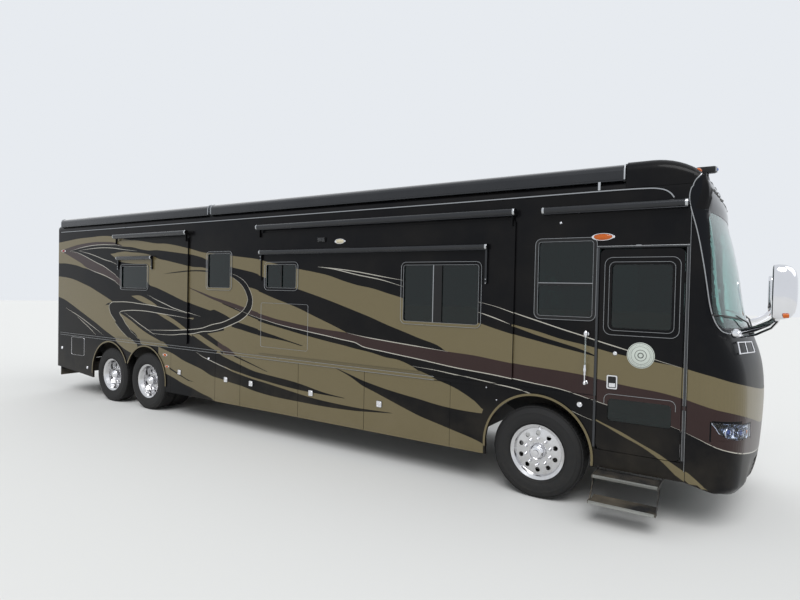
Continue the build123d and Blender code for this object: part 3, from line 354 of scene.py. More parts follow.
def block(x0, x1, y0, y1, z0, z1, edge=0.003):
    """A box with its edges taken off."""
    form = bmesh.new()
    bmesh.ops.create_cube(form, size=1)
    for corner in form.verts:
        corner.co = ((x0 + x1) / 2 + corner.co.x * (x1 - x0), (y0 + y1) / 2 + corner.co.y * (y1 - y0),
                     (z0 + z1) / 2 + corner.co.z * (z1 - z0))
    bmesh.ops.bevel(form, geom=form.edges[:], offset=edge, segments=2, profile=0.7, affect="EDGES")
    form.verts.index_update()
    result = [tuple(v.co) for v in form.verts], [tuple(v.index for v in f.verts) for f in form.faces]
    form.free()
    return result


def set_at(part, matrix):
    points, faces = part
    return [tuple(matrix @ Vector(point)) for point in points], faces


def made(name, body, parts, finishes, crease=35, ahead_by=FRONT):
    """One mesh from several parts (shape, finish number), given from the front axle."""
    form = bmesh.new()
    for (points, faces), number in parts:
        corners = [form.verts.new((x + ahead_by, y, z)) for x, y, z in points]
        made_faces = []
        for face in faces:
            try:
                made_faces.append(form.faces.new([corners[k] for k in face]))
            except ValueError:
                continue
        for face in made_faces:
            face.material_index = number
            face.smooth = True
        bmesh.ops.recalc_face_normals(form, faces=made_faces)
    mesh = bpy.data.meshes.new(name)
    form.to_mesh(mesh)
    form.free()
    mesh.set_sharp_from_angle(angle=radians(crease))
    return new_piece(name, mesh, body, finishes)


def quarter_turned(*spot):
    """Puts a part at a spot, turned so that its front faces right, or its right side faces back."""
    return Matrix.Translation(spot) @ Matrix.Rotation(-pi / 2, 4, "Z")


def mirrored(part):
    points, faces = part
    return [(x, -y, z) for x, y, z in points], faces


def copies_tree(name, ring):
    """Geometry Nodes: the mesh itself repeated on a ring round Z, or along a row."""
    tree = bpy.data.node_groups.new(name, "GeometryNodeTree")
    sockets = {}
    for title, kind in (("Geometry", "NodeSocketGeometry"), ("Count", "NodeSocketInt"),
                        ("Radius", "NodeSocketFloat"), ("Step", "NodeSocketVector"),
                        ("Finish", "NodeSocketMaterial")):
        sockets[title] = tree.interface.new_socket(title, in_out="INPUT", socket_type=kind).identifier
    tree.interface.new_socket("Geometry", in_out="OUTPUT", socket_type="NodeSocketGeometry")
    add, link = tree.nodes.new, tree.links.new
    given, out = add("NodeGroupInput"), add("NodeGroupOutput")
    place = add("GeometryNodeInstanceOnPoints")
    if ring:
        line = add("GeometryNodeMeshCircle")
        link(given.outputs["Count"], line.inputs["Vertices"])
        link(given.outputs["Radius"], line.inputs["Radius"])
        number, share = add("GeometryNodeInputIndex"), add("ShaderNodeMath")
        angle = add("ShaderNodeCombineXYZ")
        share.operation = "DIVIDE"
        share.inputs[0].default_value = 2 * pi
        link(given.outputs["Count"], share.inputs[1])
        link(maths(tree, "MULTIPLY", number.outputs[0], share.outputs[0]), angle.inputs["Z"])
        link(angle.outputs[0], place.inputs["Rotation"])
    else:
        line = add("GeometryNodeMeshLine")
        line.mode = "OFFSET"
        link(given.outputs["Count"], line.inputs["Count"])
        link(given.outputs["Step"], line.inputs["Offset"])
    real, finish = add("GeometryNodeRealizeInstances"), add("GeometryNodeSetMaterial")
    link(line.outputs["Mesh"], place.inputs["Points"])
    link(given.outputs["Geometry"], place.inputs["Instance"])
    link(place.outputs[0], real.inputs[0])
    link(real.outputs[0], finish.inputs["Geometry"])
    link(given.outputs["Finish"], finish.inputs["Material"])
    link(finish.outputs[0], out.inputs["Geometry"])
    return tree, sockets


ring_tree, ring_sockets = copies_tree("ring_of_copies", True)
row_tree, row_sockets = copies_tree("row_of_copies", False)


def repeated(part, finish, count, radius=None, step=None):
    """Runs a part through one of the trees above and returns the points and faces of the result."""
    tree, sockets = (row_tree, row_sockets) if radius is None else (ring_tree, ring_sockets)
    mesh = bpy.data.meshes.new("repeat")
    mesh.from_pydata(part[0], [], part[1])
    seed = bpy.data.objects.new("repeat", mesh)
    scene.collection.objects.link(seed)
    copier = seed.modifiers.new("copies", "NODES")
    copier.node_group = tree
    copier[sockets["Count"]] = count
    copier[sockets["Finish"]] = finish
    if radius is None:
        copier[sockets["Step"]] = step
    else:
        copier[sockets["Radius"]] = radius
    grown = bpy.data.meshes.new_from_object(seed.evaluated_get(bpy.context.evaluated_depsgraph_get()))
    result = [tuple(v.co) for v in grown.vertices], [tuple(p.vertices) for p in grown.polygons]
    seed.modifiers.clear()
    bpy.data.objects.remove(seed)
    bpy.data.meshes.remove(mesh)
    bpy.data.meshes.remove(grown)
    return result


# Nut covers: a chrome cap over each wheel nut, ten to a wheel, and the hub cover's stepped rings.
chrome = new_finish("chrome", srgb(235, 235, 238), 0.06, metallic=1.0, dust=0.06, dust_top=1.1, ripple=None,
                    spread=0.03)
wheel_z, single_y = 0.515, 1.10
axle_places = [               # name, the disc's face and the hub's dome, inwards from the tyre's middle
    ("front", -0.086, -0.150), ("drive", 0.020, -0.096), ("tag", 0.020, -0.096),
]


def wheel_body(name, side):
    return f"drive_wheels_{side}" if name == "drive" else f"{name}_wheel_{side}"


def faced(sign, x, y=single_y):
    """Turns a part built along X (outwards positive) to face out at one end of an axle."""
    return Matrix.Translation((x, sign * y, wheel_z)) @ Matrix.Rotation(sign * pi / 2, 4, "Z")


nut_cover = turned([(0.0005, 0.038), (0.009, 0.038), (0.0145, 0.033), (0.0165, 0.012), (0.0195, 0.008),
                    (0.0205, 0.0), (0.0005, 0.0)], 12)
nut_ring = repeated(set_at(nut_cover, Matrix.Rotation(-pi / 2, 4, "Y")), chrome, 10, radius=0.1445)
for side, sign in SIDES:
    for name, face, dome in axle_places:
        seat_out = -face
        nuts = set_at(set_at(nut_ring, Matrix.Translation((0, 0, seat_out))),
                      Matrix.Rotation(pi / 2, 4, "Y"))
        cover = turned([(0.0005, 0.018), (0.030, 0.017), (0.034, 0.011), (0.060, 0.006), (0.064, 0.001),
                        (0.079, -0.009), (0.087, -0.024), (0.087, -0.034), (0.0005, -0.034)], 40)
        cover = set_at(cover, Matrix.Translation((-dome + 0.0012, 0, 0)))
        barrel_ring = turned([(0.0965, 0.004), (0.0995, 0.004), (0.1015, 0.0), (0.0945, 0.0)], 40)
        barrel_ring = set_at(barrel_ring, Matrix.Translation((seat_out, 0, 0)))
        stem = swept([(seat_out + 0.002, 0.0, 0.236), (seat_out + 0.025, 0.0, 0.240),
                      (seat_out + 0.05, 0.0, 0.250)], round_section(0.0042, 8), up=Vector((0, 1, 0)))
        parts = [(set_at(part, faced(sign, AXLES[name])), 0) for part in (nuts, cover, barrel_ring, stem)]
        made(f"hub_cover_{name}_{side}", wheel_body(name, side), parts, [chrome])

# ---- Tyres -------------------------------------------------------------------------------------
# Radial truck tyres of black rubber, moulded in one piece with four long grooves and sipes across.
tyre_rubber = new_finish("tyre_rubber", srgb(17, 17, 18), 0.75, dust=0.1, dust_top=1.3, dust_scale=16.0,
                         ripple=(260, 0.25, 0.0008), dust_colour=srgb(92, 86, 76))
tyre_profile = [              # half of the section from the bead out: radius, distance from the middle
    (0.2866, 0.085), (0.2866, 0.1060), (0.296, 0.1085), (0.309, 0.1128), (0.318, 0.1225), (0.330, 0.1325),
    (0.333, 0.1365), (0.338, 0.1368), (0.341, 0.1350), (0.358, 0.1415), (0.385, 0.1456), (0.410, 0.1458),
    (0.432, 0.1440), (0.436, 0.1452), (0.441, 0.1452), (0.445, 0.1425), (0.462, 0.1385), (0.480, 0.1315),
    (0.492, 0.1235), (0.4985, 0.1150), (0.501, 0.1040), (0.5015, 0.060),
]
tread_rows = [                # middle of each row of tread blocks, half its width
    (0.0, 0.0155), (0.0365, 0.0155), (-0.0365, 0.0155), (0.0735, 0.0165), (-0.0735, 0.0165),
    (0.1065, 0.0125), (-0.1065, 0.0125),
]
blocks_round = 76
whole = tyre_profile + [(radius, -along) for radius, along in reversed(tyre_profile)]
carcass = turned(whole, 72)
block_long = 2 * pi * 0.5148 / blocks_round - 0.0035


def tread_block(middle, half):
    """One block of tread, its sides slightly slanted, on the crown at radius 0.515."""
    skew = 0.004 if middle >= 0 else -0.004
    outer = 0.0 if abs(middle) < 0.1 else (0.006 if middle > 0 else -0.006)
    points = []
    for level, draw in ((-0.0145, 0.0), (-0.0008, 0.001), (0.0, 0.0022)):
        for a, b in ((-1, -1), (1, -1), (1, 1), (-1, 1)):
            drop = 0.003 if outer and b * middle > 0 and level > -0.01 else 0.0
            along, beside = a * (block_long / 2 - draw) + b * skew, middle + b * (half - draw)
            points.append((level - drop, along, beside))
    faces = [(0, 3, 2, 1), (8, 9, 10, 11)]
    for row in (0, 4):
        faces += strip(row, row + 4, 4)
    return points, faces


tread = []
for middle, half in tread_rows:
    tread.append(repeated(tread_block(middle, half), tyre_rubber, blocks_round, radius=0.5142))
for side, sign in SIDES:
    for name, x in AXLES.items():
        parts = []
        for y in ((single_y, 0.762) if name == "drive" else (single_y,)):
            spot = faced(sign, x, y)
            parts.append((set_at(carcass, spot), 0))
            parts += [(set_at(set_at(row, Matrix.Rotation(pi / 2, 4, "Y")), spot), 0) for row in tread]
        tyre_node = f"tyres_drive_{side}" if name == "drive" else f"tyre_{name}_{side}"
        tyre = made(f"treaded_{tyre_node}", wheel_body(name, side), parts, [tyre_rubber], crease=28)
        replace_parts(tyre, tyre_node)

# ---- Deck, bays and driving place --------------------------------------------------------------
# Plywood deck under vinyl boards, sheet-metal bay pan, ribbed metal stairs inside the door, and a
# moulded dash with its wheel.
floor_board = new_finish("floor_board", srgb(132, 108, 82), 0.45, dust=0.0, ripple=(80, 0.15, 0.001),
                         second=srgb(104, 82, 60))
step_grey = new_finish("step_grey", srgb(92, 92, 92), 0.55, metallic=0.4, dust=0.4, dust_top=0.9)
bay_metal = new_finish("bay_metal", srgb(64, 64, 64), 0.6, metallic=0.2, dust=0.5, dust_top=1.3)
dash_plastic = new_finish("dash_plastic", srgb(64, 56, 48), 0.6, dust=0.05, ripple=(400, 0.3, 0.0006))
dress(floor_board, "deck")
dress(bay_metal, "bay_floor")
dress(step_grey, "entry_stairs")
dress(dash_plastic, "dash_and_wheel")

# ---- Front seats -------------------------------------------------------------------------------
# Two swivel chairs: a steel pedestal and moulded pan and arms, with a foam cushion, back and headrest
# in stitched leather, piped round their seams and held by hook strips under the foam.
seat_leather = new_finish("seat_leather", srgb(176, 160, 132), 0.5, dust=0.0, ripple=(220, 0.35, 0.001),
                          second=srgb(152, 134, 106))
piping_leather = new_finish("piping_leather", srgb(112, 94, 70), 0.5, dust=0.0, ripple=(260, 0.3, 0.0006))


def stuffed(half, crown, pull, channels, seed, squareness=5.0, cuts=44):
    """A foam form with crowned faces, sides drawn in between its corners and stitched channels."""
    form = bmesh.new()
    bmesh.ops.create_cube(form, size=2.0)
    bmesh.ops.subdivide_edges(form, edges=form.edges[:], cuts=cuts, use_grid_fill=True)
    form.verts.index_update()
    points = []
    for corner in form.verts:
        share = sum(abs(v) ** squareness for v in corner.co) ** (-1 / squareness)
        x, y, z = corner.co * share
        drawn = 0.022 * exp(-(z / 0.10) ** 2)
        slack = noise(Vector((3 * x, 3 * y, 2 * z + seed)))
        wide_x = 1 - pull * (1 - y * y) - drawn + 0.010 * slack
        wide_y = 1 - pull * (1 - x * x) - drawn + 0.010 * slack
        rise = z * (1 + crown * (1 - x * x) * (1 - y * y)) + 0.05 * slack * (1 - x * x) * (1 - y * y)
        for axis, at, low, high in channels:
            across, along = ((x, y), (y, x))[axis]
            ends = min(1.0, max(0.0, (along - low) / 0.08), max(0.0, (high - along) / 0.08))
            near = exp(-((across - at) / 0.045) ** 2) * ends
            gathers = 1 + 0.35 * sin(38 * along + 7 * at + seed)
            if z > 0:
                rise -= near * (0.13 + 0.02 * gathers)
        points.append((x * wide_x * half[0], y * wide_y * half[1], rise * half[2]))
    faces = [tuple(v.index for v in face.verts) for face in form.faces]
    form.free()
    return points, faces


def welt(half, pull, squareness=5.0):
    """Piping along the seam round the middle of a stuffed form."""
    run = []
    for step in range(96):
        angle = 2 * pi * step / 96
        x, y = cos(angle), sin(angle)
        share = (abs(x) ** squareness + abs(y) ** squareness) ** (-1 / squareness)
        x, y = x * share, y * share
        wide_x, wide_y = 1 - pull * (1 - y * y) - 0.014, 1 - pull * (1 - x * x) - 0.014
        run.append((x * half[0] * wide_x, y * half[1] * wide_y, 0))
    return swept(run, round_section(0.0042, 8), closed=True, up=Vector((0, 0, 1)))


seat_forms = [                # name, half sizes, crown, pull, channels, middle, lean (degrees), fill
    ("cushion", (0.27, 0.265, 0.080), 0.30, 0.05,
     [(1, -0.60, -0.9, 0.9), (1, 0.60, -0.9, 0.9), (0, -0.45, -0.6, 0.6), (0, 0.0, -0.6, 0.6),
      (0, 0.45, -0.6, 0.6)],
     (0, 0, 1.578), 0, 0.8),
    ("back", (0.385, 0.255, 0.068), 0.28, 0.06,
     [(1, -0.60, -0.9, 0.9), (1, 0.60, -0.9, 0.9), (0, -0.5, -0.6, 0.6), (0, -0.1, -0.6, 0.6),
      (0, 0.3, -0.6, 0.6), (0, 0.68, -0.6, 0.6)],
     (-0.30, 0, 1.952), 86, 0.75),
    ("headrest", (0.092, 0.145, 0.045), 0.35, 0.07, [(0, 0.0, -0.7, 0.7)], (-0.318, 0, 2.412), 86, 0.7),
]
seats = {"driver": (0.560, 0.600), "passenger": (0.250, -0.640)}
for who, (seat_x, seat_y) in seats.items():
    for seed, (form_name, half, crown, pull, channels, middle, lean, fill) in enumerate(seat_forms):
        place = (Matrix.Translation((seat_x + middle[0], seat_y, middle[2]))
                 @ Matrix.Rotation(radians(-lean), 4, "Y"))
        if lean:
            place = place @ Matrix.Rotation(pi, 4, "Z")
        foam = stuffed(half, crown, pull, channels, seed + (0 if who == "driver" else 11))
        padding_parts = [(set_at(foam, place), 0), (set_at(welt(half, pull), place), 1)]
        padding = made(f"{who}_seat_{form_name}", "coach", padding_parts,
                       [seat_leather, piping_leather], crease=70)
        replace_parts(padding, "front_seats")
seat_frame_parts = []
for seat_x, seat_y in seats.values():
    at = lambda outline: [(seat_x + x, z) for x, z in outline]
    pedestal = at([(-0.17, 1.236), (0.17, 1.236), (0.165, 1.262), (0.125, 1.285), (0.105, 1.33),
                   (0.105, 1.42), (0.13, 1.452), (-0.13, 1.452), (-0.105, 1.42), (-0.105, 1.33),
                   (-0.125, 1.285), (-0.165, 1.262)])
    pan = at([(-0.25, 1.455), (0.20, 1.455), (0.248, 1.468), (0.262, 1.492), (0.255, 1.512), (-0.26, 1.512),
              (-0.285, 1.49), (-0.28, 1.465)])
    seat_frame_parts += [(prism(pedestal, seat_y - 0.13, seat_y + 0.13, 0.008), 0),
                         (prism(pan, seat_y - 0.235, seat_y + 0.235, 0.008), 0)]
    for side in (-1, 1):
        y = seat_y + side * 0.258
        link = at([(-0.33, 1.47), (-0.25, 1.455), (-0.225, 1.52), (-0.29, 1.70), (-0.325, 1.70),
                   (-0.345, 1.54)])
        arm = at([(-0.35, 1.835), (-0.33, 1.81), (0.02, 1.80), (0.085, 1.812), (0.10, 1.835),
                  (0.085, 1.858), (0.02, 1.866), (-0.32, 1.866), (-0.345, 1.855)])
        seat_frame_parts += [(prism(link, y - 0.010, y + 0.010, 0.003), 0),
                             (prism(arm, y + side * 0.006 - 0.026, y + side * 0.006 + 0.026, 0.010), 0)]
    for y in (seat_y - 0.07, seat_y + 0.07):
        post = swept([(seat_x - 0.312, y, 2.28), (seat_x - 0.318, y, 2.40)], round_section(0.006, 10),
                     up=Vector((1, 0, 0)))
        seat_frame_parts.append((post, 1))
seat_frames = made("seat_frames", "coach", seat_frame_parts, [dash_plastic, chrome])
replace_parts(seat_frames, "front_seats")

# ---- Shell -------------------------------------------------------------------------------------
# Laminated side walls, roof, moulded caps, lower panels, bay doors and slide-out rooms, all sprayed
# black over a fine metallic flake and finished in clear lacquer.


def coach_paint(name, colour, flake, roughness=0.32, metallic=0.35, coat=0.8):
    """Coach paint: metallic flake under lacquer, a little dust near the road."""
    paint = new_finish(name, colour, roughness, metallic=metallic, coat=coat, dust=0.16, dust_top=1.1,
                       dust_scale=1.3, ripple=(70, 0.03, 0.0008), second=flake, spread=0.04)
    tree = paint.node_tree
    place = tree.nodes.new("ShaderNodeTexCoord")
    speck = tree.nodes.new("ShaderNodeTexVoronoi")
    speck.inputs["Scale"].default_value = 900
    tree.links.new(place.outputs["Object"], speck.inputs["Vector"])
    tree.links.new(speck.outputs["Color"], tree.nodes["shade"].inputs["Factor"])
    return paint


black_paint = coach_paint("black_paint", srgb(5, 6, 9), srgb(13, 13, 16), metallic=0.05, coat=0.12)
tune(black_paint, "Specular IOR Level", 0.08)
tan_paint = coach_paint("tan_paint", srgb(116, 105, 74), srgb(97, 87, 60), coat=0.22)
maroon_paint = coach_paint("maroon_paint", srgb(42, 13, 10), srgb(30, 8, 7), coat=0.15)
silver_paint = coach_paint("silver_paint", srgb(196, 192, 180), srgb(160, 156, 146), coat=0.5)
dress(black_paint, "side_walls", "roof", "rear_cap", "lower_sides", "engine_door", "entry_door",
      "slide_bedroom_right", "slide_living_right", "slide_living_left",
      *[name for name in nodes if name.startswith("bay_door_")])

# ---- Front cap and crown -----------------------------------------------------------------------
# One glass fibre moulding over the cab. Its crown sweeps down to the windshield from shoulders as high
# as the awning cases, and a fairing of the same moulding carries that line back over the roof.
crown_x, spring_z, joint_x, least_long = 1.10, 3.10, 1.478, 0.63
shoulder_rise, shoulder_round, shoulder_y, dome = 0.43, 0.12, 1.155, 0.045


def skin_of(mesh):
    return BVHTree.FromPolygons([v.co for v in mesh.vertices], [p.vertices for p in mesh.polygons])


plain_skins = [skin_of(nodes["front_cap"].data), skin_of(nodes["windshield"].data)]


def crown_height(y):
    """Height of the crown over its springing, across the coach, with round shoulders."""
    past = min(shoulder_round, max(0.0, abs(y) - shoulder_y))
    rounded = sqrt(shoulder_round ** 2 - past ** 2)
    return shoulder_rise + rounded + dome * max(0.0, 1 - (y / shoulder_y) ** 2)


def plain_reach(angle, y):
    way = Vector((cos(angle), 0, sin(angle)))
    far = Vector((joint_x + 0.0015 + FRONT, y, spring_z)) + 1.4 * way
    hits = [skin.ray_cast(far, -way)[0] for skin in plain_skins]
    return max([1.4 - (hit - far).length for hit in hits if hit is not None], default=0.05)


def swept_reach(angle, y, level):
    """The crown is a long ellipse, drawn in to the cap's plan where it springs."""
    back = joint_x - crown_x
    long = max(least_long, level + back)
    a = (cos(angle) / long) ** 2 + (sin(angle) / crown_height(y)) ** 2
    b = 2 * back * cos(angle) / long ** 2
    reach = (-b + sqrt(b * b - 4 * a * ((back / long) ** 2 - 1))) / (2 * a)
    return reach * (level / (long - back)) ** (cos(angle) ** 2)


cap_rows, cap_turns = np.linspace(0, 1.262, 41), np.linspace(0, pi / 2, 31)
stretch = np.array([[swept_reach(a, y, plain_reach(0, y)) / plain_reach(a, y) for a in cap_turns]
                    for y in cap_rows])


def crowned(point):
    """Where a point of the plain cap lies on the swept crown."""
    ahead_by, up_by = point.x - FRONT - joint_x, point.z - spring_z
    if up_by <= 0:
        return point
    angle = atan2(up_by, max(ahead_by, 0.0))
    row = min(abs(point.y), cap_rows[-1]) / cap_rows[1]
    turn_at = angle / cap_turns[1]
    i, j = min(int(row), len(cap_rows) - 2), min(int(turn_at), len(cap_turns) - 2)
    p, q = row - i, turn_at - j
    factor = ((1 - p) * ((1 - q) * stretch[i, j] + q * stretch[i, j + 1])
              + p * ((1 - q) * stretch[i + 1, j] + q * stretch[i + 1, j + 1]))
    return Vector((joint_x + FRONT + (ahead_by * factor if ahead_by > 0 else ahead_by), point.y,
                   spring_z + up_by * factor))


chin_low = [(0.0, 0.25), (0.5, 0.25), (0.585, 0.31), (0.79, 0.345), (1.166, 0.42), (1.276, 0.42)]


def trimmed(point):
    """The cap's lower edge: it falls from the joint to the corner, and the chin under it leans back."""
    top, flank, chin, chin_wide = 0.75, 0.495, 0.25, 0.79
    x, y, z = point.x - FRONT, abs(point.y), point.z
    if z >= top:
        return point
    low = float(np.interp(y, *zip(*chin_low)))
    low += (flank - low) * min(1.0, max(0.0, (1.747 - x) / 0.247)) if y > 1.0 else 0.0
    by_flank = low - 0.003 * (flank - z) / 0.245
    if z > flank:
        by_flank = top - (top - z) * (top - low) / (top - flank)
    by_chin = top - (top - z) * (top - low) / (top - chin)
    if y > chin_wide:
        new_z = by_flank
    else:
        share = min(1.0, (chin_wide - y) / 0.12)
        new_z = share * by_chin + (1 - share) * by_flank
    back = 0.62 * max(0.0, 0.453 - new_z) * min(1.0, max(0.0, (x - 1.50) / 0.25))
    return Vector((point.x - back, point.y, new_z))


def crowned_copy(name, node, finish):
    form = bmesh.new()
    form.from_mesh(nodes[node].data)
    bmesh.ops.remove_doubles(form, verts=form.verts, dist=0.00002)
    for longest in (0.16, 0.08, 0.05):
        wide = [e for e in form.edges if e.calc_length() > longest
                and max(v.co.z for v in e.verts) > spring_z]
        bmesh.ops.subdivide_edges(form, edges=wide, cuts=1, use_grid_fill=False)
        bmesh.ops.triangulate(form, faces=[f for f in form.faces if len(f.verts) > 3])
    for corner in form.verts:
        corner.co = trimmed(crowned(corner.co))
    for face in form.faces:
        face.smooth = True
    mesh = bpy.data.meshes.new(name)
    form.to_mesh(mesh)
    form.free()
    mesh.set_sharp_from_angle(angle=radians(24))
    piece = new_piece(name, mesh, "coach", [finish])
    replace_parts(piece, node)
    return mesh


cap_mesh = crowned_copy("front_cap_moulding", "front_cap", black_paint)
section = [(-1.2768, 0.272), (-1.2768, shoulder_rise)]
section += [(-1.1568 - shoulder_round * cos(radians(a)), shoulder_rise + shoulder_round * sin(radians(a)))
            for a in range(9, 90, 9)]
section += [(y / 20, crown_height(y / 20)) for y in range(-23, 24)]
section += [(-y, up) for y, up in section[10::-1]]
levels = [plain_reach(0, min(abs(y), 1.262)) for y, up in section]
fairing_points, fairing_faces = [], []
fairing_rows = [0.868, 0.872, 0.95, 1.03, crown_x, 1.16, 1.22, 1.28, 1.34, 1.40, 1.45, joint_x + 0.004]
for x in fairing_rows:
    for (y, up), level in zip(section, levels):
        long = max(least_long, level + joint_x - crown_x)
        share = sqrt(1 - (max(0.0, x - crown_x) / long) ** 2) if up > 0.3 else 1.0
        inset = 0.004 if x == fairing_rows[0] else 0.0
        fairing_points.append((x, y * (1 - inset), spring_z + up * share - inset))
count = len(section)
for row in range(len(fairing_rows) - 1):
    fairing_faces += strip(row * count, (row + 1) * count, count)
fairing_faces += [tuple(range(count)), tuple((len(fairing_rows) - 1) * count + k for k in range(count))]
fairing = made("roof_fairing", "coach", [((fairing_points, fairing_faces), 0)], [black_paint],
               crease=40)

# ---- Stripes -----------------------------------------------------------------------------------
# Long flowing bands of tan and maroon with fine silver lines, masked and sprayed over the black, then
# lacquered. They run on across every shut line, so each panel carries its own cut of them. The runs
# named first are shared by several bands and lines; all are given from the front axle, in metres.
long_sweep = [(-4.95, 1.94), (-4.5, 1.83), (-4.25, 1.79), (-4, 1.745), (-3.75, 1.71), (-3.5, 1.68),
              (-3.25, 1.652), (-3, 1.625), (-2.75, 1.594), (-2.5, 1.565), (-2.4, 1.526), (-2, 1.479),
              (-1.5, 1.429), (-1, 1.374), (-0.5, 1.337), (0, 1.285), (0.25, 1.26), (0.5, 1.21),
              (0.62, 1.18), (0.75, 1.15), (1, 1.09), (1.35, 1.02), (1.48, 0.977)]
low_sweep = [(-4.5, 1.8), (-4.25, 1.74), (-4, 1.7), (-3.75, 1.66), (-3.5, 1.62), (-3.25, 1.585),
             (-3, 1.55), (-2.75, 1.52), (-2.5, 1.485), (-2.25, 1.455), (-2, 1.41), (-1.85, 1.4),
             (-1.75, 1.38), (-1.6, 1.33), (-1.5, 1.28), (-1.35, 1.235), (-1.25, 1.195), (-1, 1.12),
             (-0.75, 1.0)]
outer_hook = [(-5.1, 2.5), (-4.9, 2.45), (-4.72, 2.36), (-4.6, 2.22), (-4.545, 2.08), (-4.57, 1.95),
              (-4.66, 1.85), (-4.8, 1.76), (-4.95, 1.7), (-5.25, 1.6), (-5.5, 1.545), (-5.75, 1.52),
              (-6, 1.47), (-6.25, 1.45), (-6.5, 1.42), (-7, 1.41), (-7.2, 1.43)]
inner_hook = [(-5.1, 2.46), (-4.97, 2.41), (-4.8, 2.31), (-4.7, 2.19), (-4.655, 2.08), (-4.69, 1.99),
              (-4.78, 1.9), (-4.9, 1.83), (-5.1, 1.75), (-5.25, 1.7), (-5.5, 1.65), (-5.75, 1.58),
              (-6, 1.545), (-6.25, 1.52), (-6.5, 1.5), (-7, 1.475), (-7.3, 1.46)]
claw = [(-7.6, 1.33), (-7.75, 1.4), (-7.85, 1.48), (-7.95, 1.55), (-8.05, 1.65), (-8.12, 1.7),
        (-8.15, 1.74), (-8.1, 1.765), (-8, 1.78), (-7.75, 1.8), (-7.5, 1.805), (-7.25, 1.8), (-7, 1.785),
        (-6.75, 1.77), (-6.25, 1.74)]
leaf_top = [(-10.05, 2.94), (-9.75, 2.985), (-9.5, 3.015), (-9.25, 3.035), (-9, 3.045), (-8.75, 3.045),
            (-8.5, 3.035), (-8.32, 3.03), (-8.05, 2.99)]
leaf_low = [(-10.05, 2.94), (-9.75, 2.905), (-9.5, 2.84), (-9.25, 2.765), (-9, 2.69), (-8.75, 2.62),
            (-8.5, 2.52), (-8.2, 2.4), (-8.05, 2.34)]
